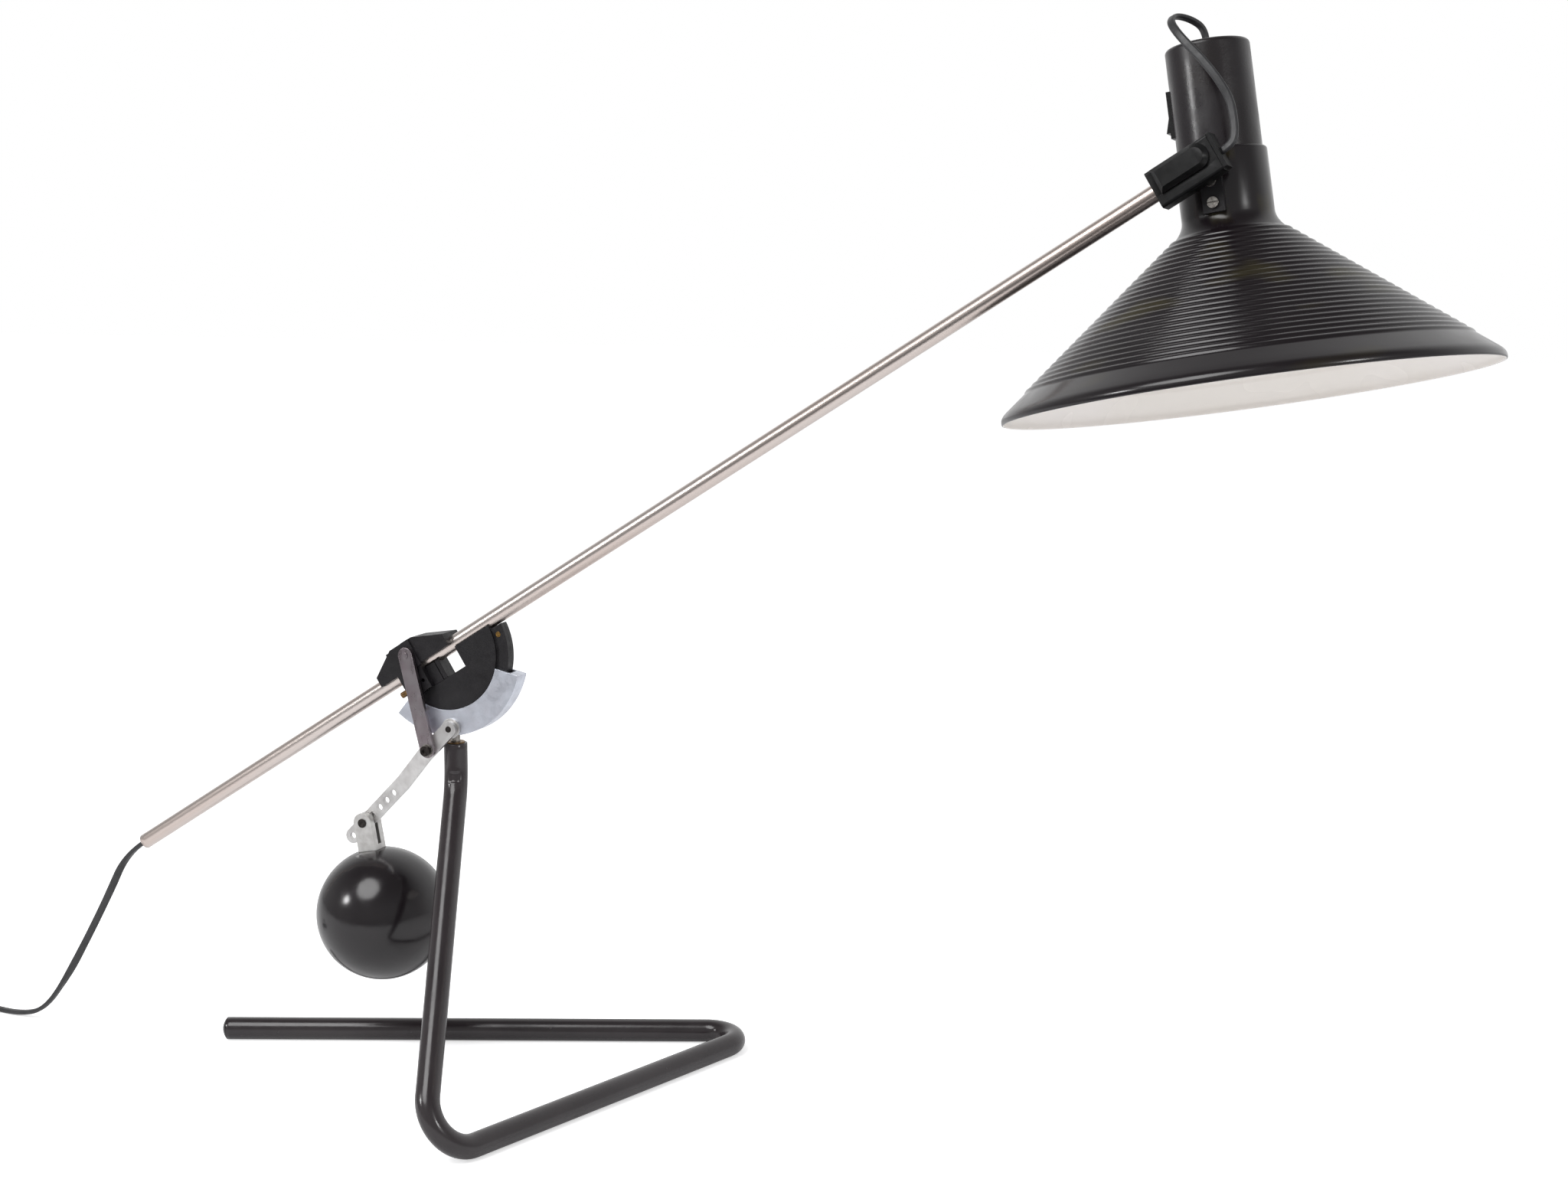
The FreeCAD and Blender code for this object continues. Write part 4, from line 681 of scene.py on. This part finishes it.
@dataclass
class Stand:
    """Bent tube stand with its end plug and bush.

    The centre line runs from the rear leg's end over three corners to the top of the upright,
    with a tangent arc at each corner.
    """

    dresser: Dresser
    frames: LampFrames
    tube_r: float = 7.5
    bore_r: float = 6.0
    rear_end: tuple[float, float] = (-189.0, 14.3)
    rear_corner: tuple[float, float] = (154.1, 144.5)
    front_corner: tuple[float, float] = (61.8, -160.6)
    corner_height: float = 197.0
    height: float = 223.5
    bends: Vec3 = (20.0, 24.0, 32.0)
    bore_depth: float = 16.0
    dimple: float = 6.0
    dimple_depth: float = 1.0
    dimple_below_top: float = 21.0
    around: int = 48
    arc_points: int = 25
    step: float = 3.0
    edge: float = 0.3
    press_inside: float = 0.6
    press_outside: float = 0.4

    def centre_line(self) -> Array:
        """Points of the centre line from the lamp's foot, as an array (n, 3)."""
        flat = (self.rear_end, self.rear_corner, self.front_corner)
        corners = [np.array([*point, self.tube_r]) for point in flat]
        corners += [np.array([0.0, 0.0, z]) for z in (self.corner_height, self.height)]
        line = [corners[0][None]]
        for before, corner, after, radius in zip(corners, corners[1:], corners[2:], self.bends):
            into = (corner - before) / np.linalg.norm(corner - before)
            out = (after - corner) / np.linalg.norm(after - corner)
            half = math.acos(float(into @ out)) / 2
            inward = (out - into) / np.linalg.norm(out - into)
            middle = corner + inward * radius / math.cos(half)
            spoke = corner - into * radius * math.tan(half) - middle
            axis = np.cross(into, out) / math.sin(2 * half)
            angle = np.linspace(0, 2 * half, self.arc_points)[:, None]
            arc = middle + spoke * np.cos(angle) + np.cross(axis, spoke) * np.sin(angle)
            line.append(self.run(line[-1][-1], arc[0]))
            line.append(arc[1:])
        line.append(self.run(line[-1][-1], corners[-1]))
        return np.concatenate(line)

    def run(self, start: Array, end: Array) -> Array:
        """Straight run from a start, which is left out, to an end."""
        count = max(2, int(np.linalg.norm(end - start) / self.step))
        t = np.linspace(0, 1, count + 1)[1:, None]
        return start + (end - start) * t

    def build_tube(self) -> None:
        """Sweeps the tube, opens both ends and presses the dimple into the upright.

        The dimple moves the skin inwards by depth * w(u) * w(v), where u and v are the places
        round and along the upright and w falls from 1 to 0 over its edge.
        """
        path = self.centre_line()
        tangent, normal, side = carried(path, np.array([0.0, 0.0, 1.0]))
        t = np.linspace(0, 2 * np.pi, self.around, endpoint=False)[None, :, None]
        spread = normal[:, None] * np.cos(t) + side[:, None] * np.sin(t)
        skin = path[:, None] + spread * self.tube_r
        lean = np.array([*self.front_corner, 0.0]) / math.hypot(*self.front_corner)
        along = np.abs(skin[..., 2] - (self.height - self.dimple_below_top))
        across = np.abs(np.cross(spread, lean)[..., 2]) * self.tube_r
        facing = (spread @ lean > 0) & (skin[..., 2] > self.corner_height - self.dimple)
        low, high = self.dimple / 2 - self.press_inside, self.dimple / 2 + self.press_outside
        press = (1 - smoothstep(along, low, high)) * (1 - smoothstep(across, low, high))
        skin = skin - spread * (press * facing * self.dimple_depth)[..., None]
        mouths = []
        for end, inward in ((0, tangent[0]), (-1, -tangent[-1])):
            skin[end] += inward * self.edge
            bore = path[end] + spread[end] * self.bore_r
            mouths.append(np.array([path[end] + spread[end] * (self.tube_r - self.edge), bore,
                                    bore + inward * self.bore_depth]))
        rings = np.concatenate([mouths[0][::-1], skin, mouths[1]])
        obj = tube_object("base_tube_bent", rings + self.frames.foot)
        obj.data.set_sharp_from_angle(angle=SHARP_RIM)
        GLOSS_ENAMEL.put_on(obj)
        self.dresser.stand_in(obj, "base_tube")

    def build(self) -> None:
        """Dresses the stand's pieces."""
        self.build_tube()
        self.dresser.dress(Coat(("base_end_plug",), MOULDED_BLACK, 0.2),
                           Coat(("pivot_bush",), OILED_BRONZE, 0.15))


@dataclass
class BalanceArm:
    """Tube, sector disc, carriage and holder."""

    dresser: Dresser
    frames: LampFrames
    edge: float = 0.25
    rings: int = 220
    segments: int = 72

    def build_tube(self) -> None:
        """Builds the tube as a turned body between the ends and radii of its CAD node."""
        arm = self.frames.arm
        local = vertices(self.dresser.frame["nodes"]["arm_tube"].data) - arm.origin
        x = local @ arm.x
        r = np.hypot(local @ arm.y, local @ arm.z)
        low, high, outer, inner = x.min(), x.max(), r.max(), r.min()
        z = np.linspace(low + self.edge, high - self.edge, self.rings)
        out = np.stack([np.full(self.rings, outer), z], 1)
        back = np.stack([np.full(self.rings, inner), z[::-1]], 1)
        upper = np.array([[outer - self.edge, high], [inner + self.edge, high]])
        lower = np.array([[inner + self.edge, low], [outer - self.edge, low]])
        profile = np.concatenate([out, upper, back, lower])
        along = Axes(arm.origin, arm.y, arm.z, arm.x)
        obj = revolve("arm_tube_drawn", along, profile, self.segments)
        BRUSHED_NICKEL.put_on(obj)
        self.dresser.stand_in(obj, "arm_tube")

    def build(self) -> None:
        """Dresses the arm's pieces."""
        self.build_tube()
        self.dresser.dress(*ON_ARM)


# Edges of the shade's profile: insets from its outer radius, and distances along the axis.
COLLAR_EDGE = ((0.9, 0.1), (0.25, 0.6), (0.0, 1.5))  # below the collar's top
RIM_EDGE = ((0.0, 0.7), (0.25, 0.15), (0.7, 0.0))    # above the rim
LIP = ((1.2, 0.2), (1.4, 0.9), (1.3, 3.0))           # above the rim, on the inside


@dataclass
class LampHead:
    """Neck, shade, switch and lampholder."""

    dresser: Dresser
    frames: LampFrames
    cup_r: float = 23.7
    collar_r: float = 26.0
    collar_top: float = 61.0
    collar_bottom: float = 97.0
    cone_start: float = 106.9
    cone_start_r: float = 31.0
    rib_end_r: float = 125.1
    cone_end: float = 191.2
    cone_end_r: float = 137.6
    rim: float = 197.4
    rim_r: float = 140.0
    sheet: float = 0.8
    ribs: int = 24
    rib_depth: float = 0.85
    rib_points: int = 10
    segments: int = 224
    cup_gap: float = 0.05
    collar_straight: float = 3.0
    after_ribs: float = 1.2
    before_knee: float = 0.6
    skirt: float = 2.0

    def cone(self) -> Array:
        """Outer line of the stepped cone, up to where it goes on plain.

        Over each rib the line stands off the straight cone by depth * sin(pi p^1.5)^0.8, where p
        is the place in the rib, so that its crest leans downwards.

        Returns:
            Array (n, 2) of radius and distance below the cap.
        """
        p = np.linspace(0, self.ribs, self.ribs * self.rib_points + 1)
        part = (p - np.floor(p)) ** 1.5
        bulge = self.rib_depth * np.sin(np.pi * part) ** 0.8
        dr, ds = self.cone_end_r - self.cone_start_r, self.cone_end - self.cone_start
        slant = math.hypot(dr, ds)
        along = p / self.ribs * (self.rib_end_r - self.cone_start_r)
        r = self.cone_start_r + along + ds / slant * bulge
        s = self.cone_start + along * ds / dr - dr / slant * bulge
        return np.stack([r, s], 1)

    def shade_profile(self) -> tuple[Array, int]:
        """Closed profile of the shade, outside first.

        The collar flares as r = collar_r + 5 t^1.9 over the height up to the cone, and the cone
        turns into the upright skirt over a quadratic curve.

        Returns:
            The profile as radius and height, and the number of its points on the outside.
        """
        collar = np.array([[self.cup_r + self.cup_gap, self.collar_top],
                           *([self.collar_r - inset, self.collar_top + down]
                             for inset, down in COLLAR_EDGE),
                           [self.collar_r, self.collar_bottom - self.collar_straight]])
        t = np.linspace(0, 1, 9)[:-1]
        flare = np.stack([self.collar_r + (self.cone_start_r - self.collar_r) * t**1.9,
                          self.collar_bottom + (self.cone_start - self.collar_bottom) * t], 1)
        dr, ds = self.cone_end_r - self.cone_start_r, self.cone_end - self.cone_start
        plain = np.linspace(self.rib_end_r + self.after_ribs, self.cone_end_r - self.before_knee, 4)
        smooth = np.stack([plain, self.cone_end - (self.cone_end_r - plain) * ds / dr], 1)
        b = np.linspace(0, 1, 6)[:, None]
        knee = np.array([self.rim_r, self.cone_end + (self.rim_r - self.cone_end_r) * ds / dr])
        foot = np.array([self.rim_r, self.rim - self.skirt])
        corner = (1 - b) ** 2 * smooth[-1] + 2 * b * (1 - b) * knee + b**2 * foot
        edge = np.array([[self.rim_r - inset, self.rim - up] for inset, up in RIM_EDGE])
        outside = np.concatenate([collar, flare, self.cone(), smooth[:-1], corner, edge])
        within = np.array([-ds, dr]) / math.hypot(dr, ds) * self.sheet
        lip = np.array([[self.rim_r - inset, self.rim - up] for inset, up in LIP])
        ribbed = self.cone()[::-2] + within
        throat = flare[::-1] + np.array([-self.sheet, 0.25])
        neck = np.array([[self.collar_r - self.sheet, self.collar_top + 2.0],
                         [self.cup_r + self.cup_gap, self.collar_top + 0.9]])
        inside = np.concatenate([lip, smooth[::-1] + within, ribbed, throat, neck])
        profile = np.concatenate([outside, inside])
        profile[:, 1] = self.frames.cap_above_hinge - profile[:, 1]
        return profile, len(outside)

    def build_shade(self) -> None:
        """Builds the shade, black outside and white inside."""
        profile, outer = self.shade_profile()
        obj = revolve("shade_spun", self.frames.head, profile, self.segments)
        # The outside carries olive streaks painted in as reflection.
        obj.data.materials.append(SHADE_OUTSIDE_PAINTED_REFLECTION.material())
        obj.data.materials.append(WHITE_ENAMEL.material())
        row = np.repeat(np.arange(len(profile)), self.segments)
        inside = ((row >= outer - 1) & (row < len(profile) - 2)).astype(np.int32)
        obj.data.polygons.foreach_set("material_index", inside)
        obj.data.set_sharp_from_angle(angle=SHARP_RIM)
        self.dresser.stand_in(obj, "shade")

    def build(self) -> None:
        """Builds the head."""
        self.build_shade()
        self.dresser.dress(*IN_HEAD)


@dataclass(frozen=True)
class FlatCord:
    """Flat two-core cord, swept along a smooth route.

    The section is a superellipse |x/a|^2.6 + |y/b|^2.2 = 1 with a shallow groove between the
    cores, carried along the route in a frame that turns as little as it can, plus a twist.
    """

    width: float = 5.2
    thick: float = 3.2
    groove: float = 0.14
    groove_half_width: float = 0.7
    around: int = 24

    def section(self) -> Array:
        """Outline of the cord, as an array (around, 2) with X across the width."""
        t = np.linspace(0, 2 * np.pi, self.around, endpoint=False)
        c, s = np.cos(t), np.sin(t)
        x = self.width / 2 * np.sign(c) * np.abs(c) ** (2 / 2.6)
        y = self.thick / 2 * np.sign(s) * np.abs(s) ** (2 / 2.2)
        y = y * (1 - self.groove * np.exp(-((x / self.groove_half_width) ** 2)))
        return np.stack([x, y], 1)

    @staticmethod
    def route(points: Array) -> Array:
        """Smooth line of the route's control points.

        Args:
            points: array (n, 3) of control points in the row frame, in millimetres.

        Returns:
            Array (m, 3) of points on the curve, in millimetres.
        """
        data = bpy.data.curves.new("route", "CURVE")
        data.dimensions = "3D"
        data.resolution_u = 10
        line = data.splines.new("NURBS")
        line.points.add(len(points) - 1)
        flat = np.concatenate([points * MM, np.ones((len(points), 1))], 1)
        line.points.foreach_set("co", flat.ravel())
        line.order_u = 3
        line.use_endpoint_u = True
        holder = linked("route", data)
        bpy.context.view_layer.update()
        mesh = bpy.data.meshes.new_from_object(holder)
        found = vertices(mesh)
        bpy.data.objects.remove(holder)
        bpy.data.curves.remove(data)
        bpy.data.meshes.remove(mesh)
        keep = np.concatenate([[True], np.linalg.norm(np.diff(found, axis=0), axis=1) > 1e-4])
        return found[keep]

    def sweep(self, name: str, path: Array, thin: Array, twist: Array) -> Obj:
        """Carries the section along the path.

        Args:
            name: object name.
            path: array (m, 3) in millimetres.
            thin: direction of the thin axis at the start.
            twist: array (m,) of extra turn in radians.

        Returns:
            The closed tube.
        """
        _, n0, w0 = carried(path, np.asarray(thin, float))
        c, s = np.cos(twist)[:, None], np.sin(twist)[:, None]
        normal, wide = n0 * c + w0 * s, w0 * c - n0 * s
        shape = self.section()[None]
        across, up = wide[:, None] * shape[..., :1], normal[:, None] * shape[..., 1:]
        obj = tube_object(name, path[:, None] + across + up)
        VINYL_SHEATH.put_on(obj)
        return obj


# Control points of the loop beside the neck, in the head's frame, with Z down from the cap.
LOOP_ROUTE = (
    (0.0, 0.0, -3.2), (0.0, 0.0, -9.5), (-6.0, -4.5, -15.5), (-12.5, -13.0, -17.5),
    (-13.5, -22.0, -13.0), (-8.5, -28.5, -4.5), (-2.0, -31.5, 4.5), (6.0, -33.0, 15.5),
    (13.0, -33.5, 27.5), (17.5, -33.5, 38.5), (18.5, -34.5, 49.5), (18.3, -36.0, 58.5))
# Control points of the supply cord from the arm's end to the floor, from the lamp's foot.
FALL_ROUTE = (
    (-271.5, -0.3, 97.0), (-291.0, 0.2, 64.0), (-310.0, -0.4, 33.0), (-331.0, 0.8, 7.5),
    (-354.0, 2.6, 1.7))
# Its way into the coil, from the coil's outermost point.
ENTRY_ROUTE = ((30.0, 0.0, -0.6), (12.0, 0.0, 0.0))
# Its way from there to the plug, a layer higher.
TAIL_ROUTE = (
    (-5.0, 0.0, 0.0), (-17.0, 0.0, -0.6), (-35.0, -0.8, -2.0), (-60.0, -3.0, -1.8),
    (-82.9, -6.2, 0.0), (-96.5, -14.7, 0.2))


@dataclass
class Cords:
    """The loop beside the neck and the supply cord with its coil and plug."""

    dresser: Dresser
    frames: LampFrames
    cord: FlatCord
    low_end: float = -277.7
    stub: float = 18.5
    holder_exit: float = 575.2
    loop_twist: float = 0.25
    coil_centre: tuple[float, float] = (-414.0, -33.0)
    coil_mean_r: float = 28.5
    coil_turns: int = 4
    coil_pitch: float = 5.5
    lower_z: float = 2.8
    layer: float = 3.6
    points_per_half: int = 8
    tie_half_width: float = 4.0
    tie_wall: float = 0.9
    loop_cord: FlatCord = FlatCord(width=4.8, thick=3.0)

    @property
    def coil_outer_r(self) -> float:
        """Radius of the coil's outermost half turn."""
        return self.coil_mean_r + self.coil_turns * self.coil_pitch / 2

    def head_points(self) -> Array:
        """Control points of the loop, from the grommet to the holder, in the row frame."""
        local = np.array(LOOP_ROUTE)
        local[:, 2] = self.frames.cap_above_hinge - local[:, 2]
        end = self.frames.arm.row(np.array([[self.holder_exit + 6.0, 0, 0],
                                            [self.holder_exit, 0, 0]]))
        return np.concatenate([self.frames.head.row(local), end])

    def build_loop(self) -> None:
        """Builds the loop from the head to the arm."""
        points = self.head_points()
        path = self.loop_cord.route(points)
        run = run_length(path)
        head = self.frames.head
        thin = head.row(np.array([-0.6, -0.8, 0.0])) - head.origin
        twist = self.loop_twist * smoothstep(run, 0.0, run[-1])
        obj = self.loop_cord.sweep("cord_loop_flat", path, thin, twist)
        obj["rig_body"] = "head"
        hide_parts("cord_head_loop")
        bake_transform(obj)
        LOG.info("loop %.0f mm", run[-1])

    def coil_points(self) -> Array:
        """Control points of the coil from the formula of its half turns.

        Half turn k has radius R - k p / 2 inwards, one half turn climbs a layer, and the rest
        go out again; its points stand at equal angles, drawn out so that the curve keeps R.

        Returns:
            Array (n, 3) in the frame of the swivel.
        """
        half = 2 * self.coil_turns
        inwards = self.coil_outer_r - np.arange(half) * self.coil_pitch / 2
        radii = np.concatenate([inwards, [inwards[-1] - self.coil_pitch / 2], inwards[1:][::-1]])
        even = np.arange(len(radii)) % 2 == 0
        change = np.concatenate([[0.0], np.cumsum(np.where(even, -2, 2) * radii)])
        start_y = self.coil_outer_r + change[:-1]
        side = np.where(even, 1.0, -1.0)
        step = np.pi / self.points_per_half
        angle = (np.arange(self.points_per_half) + 0.5) * step
        grown = radii / ((1 + math.cos(step / 2)) / 2)
        x = -side[:, None] * grown[:, None] * np.sin(angle)
        y = (start_y - side * radii)[:, None] + side[:, None] * grown[:, None] * np.cos(angle)
        turn = np.arange(len(radii))[:, None] + angle / np.pi
        z = self.lower_z + self.layer * smoothstep(turn, half, half + 1.0)
        cx, cy = self.coil_centre
        return np.stack([cx + x, cy + y, z], -1).reshape(-1, 3)

    def supply_points(self) -> Array:
        """Control points from the arm's open end to the plug, in the row frame."""
        first = self.frames.arm.row(np.array([[self.low_end, 0, 0],
                                              [self.low_end - self.stub, 0, 0]]))
        cx, cy = self.coil_centre
        edge = np.array([cx, cy + self.coil_outer_r, self.lower_z])
        raised = edge + np.array([0.0, 0.0, self.layer])
        onward = np.concatenate([np.array(FALL_ROUTE), edge + np.array(ENTRY_ROUTE),
                                 self.coil_points(), raised + np.array(TAIL_ROUTE)])
        return np.concatenate([first, self.frames.foot + onward])

    def build_supply(self) -> None:
        """Builds the supply cord from the arm to the plug."""
        points = self.supply_points()
        path = self.cord.route(points)
        run = run_length(path)
        twist = np.pi / 2 * (smoothstep(run, 6.0, 62.0) - smoothstep(run, 92.0, 142.0))
        across = np.array([-self.frames.arm.x[2], 0.0, self.frames.arm.x[0]])
        obj = self.cord.sweep("supply_cord_flat", path, across, twist)
        tie = self.build_tie()
        body, pins = self.dresser.dress(Coat(("plug_body",), SOFT_RUBBER, 0.0),
                                        Coat(("plug_pins",), PLAIN_BRASS, 0.4))
        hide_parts("cord_free", "cord_coil", "cord_tail")
        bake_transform(obj)
        LOG.info("supply cord %.0f mm", run[-1])

    def build_tie(self) -> Obj:
        """Builds the band round the turns: a rounded outline carried along Y."""
        cx, cy = self.coil_centre
        wall, left = self.tie_wall, cx - self.coil_outer_r
        x0, x1 = left - 4.0, left + self.coil_turns * self.coil_pitch + 1.6
        z0, z1 = 0.1, self.lower_z + self.layer + 2.6
        outline = rounded(np.array([[x0, z0], [x1, z0], [x1, z1], [x0, z1]]), 2.2)
        x0, x1, z0, z1 = x0 + wall, x1 - wall, wall, z1 - wall
        hollow = rounded(np.array([[x0, z0], [x1, z0], [x1, z1], [x0, z1]]), 1.6)
        near, far = cy - self.tie_half_width, cy + self.tie_half_width
        loops = ((outline, near), (outline, far), (hollow, far), (hollow, near))
        rings = np.stack([np.stack([p[:, 0], np.full(len(p), y), p[:, 1]], 1) for p, y in loops])
        obj = mesh_object("coil_tie_band", (rings + self.frames.foot).reshape(-1, 3),
                          grid_faces(len(loops), len(outline), True, True))
        outward(obj)
        SOFT_RUBBER.put_on(obj)
        self.dresser.stand_in(obj, "coil_tie")
        return obj

    def build(self) -> None:
        """Builds both cords and the piece of cord in the arm."""
        self.build_loop()
        self.build_supply()
        self.dresser.dress(Coat(("cord_in_arm",), VINYL_SHEATH, 0.0))


@dataclass(frozen=True)
class SoftLight:
    """Round soft light: its name, its place and diameter in metres, and its watts."""

    name: str
    place: Vec3
    size: float
    power: float


# A window on each side before the lamp and a large soft light over it.
SOFT_LIGHTS = (SoftLight("window_left", (-1.9, -1.7, 1.2), 0.5, 14.0),
               SoftLight("window_right", (2.2, -1.2, 1.1), 0.45, 9.0),
               SoftLight("soft_top", (-0.5, -1.35, 1.95), 1.5, 32.0))


def either(tree: Tree, first: Socket, second: Socket) -> Socket:
    """Adds a node that gives the greater of two values."""
    return add(tree, "Math", {0: first, 1: second}, operation="MAXIMUM").outputs[0]


def ramp(tree: Tree, value: Socket, start: tuple, end: tuple) -> Socket:
    """Adds a smooth ramp of a value between two pairs of value and result."""
    node = add(tree, "MapRange", {"Value": value, "From Min": start[0],
               "From Max": end[0], "To Min": start[1], "To Max": end[1]},
               interpolation_type="SMOOTHSTEP")
    return node.outputs[0]


@dataclass
class Studio:
    """Pale floor, soft lights and the camera of the photograph.

    The camera's place is from the lamp's foot, in millimetres, and its angles are degrees to the
    left and down. The table_ values are its edges, its glow for the camera and its glow in
    mirrored rays. The front_ values are the room before the lamp in mirrored rays: below the
    table, level with the lamp and at the ceiling. All other rays see diffuse.
    """

    frames: LampFrames
    image_width: int = 2048
    focal_px: float = 3300.0
    pitch: float = 8.515
    heading: float = 21.736
    place: Vec3 = (779.0, -1389.0, 550.9)
    sensor_width: float = 36.0
    table_front: float = -800.0
    table_far: float = 9000.0
    table_lift: float = 0.56
    table_mirrored: float = 0.15
    front_low: float = 0.10
    front_level: float = 0.46
    front_high: float = 0.16
    diffuse: float = 0.55
    aim: Vec3 = (0.0, 0.0, 0.35)

    def camera(self) -> None:
        """Places the camera from the swivel's foot, looking down by its pitch."""
        data = bpy.data.cameras.new("photo_camera")
        data.sensor_width = self.sensor_width
        data.lens = self.focal_px / self.image_width * self.sensor_width
        data.clip_end = 60.0
        obj = linked("photo_camera", data)
        obj.location = Vector((self.frames.foot + np.array(self.place)) * MM)
        yaw, down = math.radians(self.heading), math.radians(self.pitch)
        forward = Vector((-math.sin(yaw) * math.cos(down), math.cos(yaw) * math.cos(down),
                          -math.sin(down)))
        obj.rotation_euler = forward.to_track_quat("-Z", "Y").to_euler()
        bpy.context.scene.camera = obj

    def floor(self) -> None:
        """Builds the pale table, lifted to white for the camera and still taking shadow.

        Its front edge lies before the lamp, out of the camera's view, so that metal mirrors the
        darker room beyond it.
        """
        material, tree = blank("pale_table_top")
        path = add(tree, "LightPath", {})
        mirrored = either(tree, path.outputs["Is Glossy Ray"], path.outputs["Is Transmission Ray"])
        faint = add(tree, "Math", {0: mirrored, 1: self.table_mirrored},
                    operation="MULTIPLY")
        lift = add(tree, "Math", {0: path.outputs["Is Camera Ray"],
                   1: self.table_lift, 2: faint.outputs[0]}, operation="MULTIPLY_ADD")
        base = add(tree, "BsdfDiffuse", {"Color": (0.86, 0.86, 0.87, 1.0)})
        glow = add(tree, "Emission", {"Color": (1, 1, 1, 1), "Strength": lift.outputs[0]})
        total = add(tree, "AddShader", {0: base.outputs[0], 1: glow.outputs[0]})
        add(tree, "OutputMaterial", {"Surface": total.outputs[0]})
        far, front = self.table_far, self.table_front
        corners = np.array([[-far, front, 0], [far, front, 0], [far, far, 0], [-far, far, 0]])
        obj = mesh_object("table_top", corners, [[0, 1, 2, 3]])
        obj.data.materials.append(material)

    def world(self) -> None:
        """White room for the camera; mirrored rays see the white wall behind and a dimmer front.

        A mirrored ray of direction d sees front + (1 - front) w, with w rising from 0 to 1 as d
        turns to the wall; the front is brightest level with the lamp and dims to the ceiling.
        """
        world = bpy.data.worlds.new("white_room")
        bpy.context.scene.world = world
        world.use_nodes = True
        tree = world.node_tree
        tree.nodes.clear()
        path = add(tree, "LightPath", {})
        place = add(tree, "TexCoord", {})
        way = add(tree, "SeparateXYZ", {"Vector": place.outputs["Generated"]})
        up, back = way.outputs[2], way.outputs[1]
        level = ramp(tree, up, (-0.30, self.front_low), (0.12, self.front_level))
        front = ramp(tree, up, (0.25, level), (0.95, self.front_high))
        room = ramp(tree, back, (0.05, front), (0.75, 1.0))
        mirrored = add(tree, "Mix", {0: path.outputs["Is Glossy Ray"],
                       2: self.diffuse, 3: room})
        seen = either(tree, path.outputs["Is Camera Ray"], path.outputs["Is Transmission Ray"])
        strength = add(tree, "Mix", {0: seen, 2: mirrored.outputs[0], 3: 1.0})
        sky = add(tree, "Background", {"Color": (1, 1, 1, 1),
                  "Strength": strength.outputs[0]})
        add(tree, "OutputWorld", {"Surface": sky.outputs[0]})

    def shine(self, light: SoftLight) -> None:
        """Adds a round soft light aimed at the middle of the lamp."""
        data = bpy.data.lights.new(light.name, "AREA")
        data.shape = "DISK"
        data.size = light.size
        data.energy = light.power
        obj = linked(light.name, data)
        obj.location = light.place
        towards = Vector(self.aim) - Vector(light.place)
        obj.rotation_euler = towards.to_track_quat("-Z", "Y").to_euler()

    def build(self) -> None:
        """Builds the studio."""
        self.camera()
        self.floor()
        self.world()
        for light in SOFT_LIGHTS:
            self.shine(light)
        bpy.context.scene.view_settings.view_transform = "Standard"


def plain(box: object) -> list:
    """Turns a box of vectors into plain lists."""
    return [[float(v) for v in corner] for corner in box]


def main() -> None:
    """Builds the lamp on its frame."""
    logging.basicConfig(level=logging.INFO, format="%(name)s: %(message)s")
    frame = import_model()
    frames = LampFrames.read(frame["record"])
    dresser = Dresser(frame)
    Cords(dresser, frames, FlatCord()).build()
    Studio(frames).build()
    Stand(dresser, frames).build()
    dresser.dress(*CRADLE)
    BalanceArm(dresser, frames).build()
    dresser.dress(*LINKAGE, *COUNTERWEIGHT)
    LampHead(dresser, frames).build()
    bpy.context.view_layer.update()


if __name__ == "__main__":
    main()
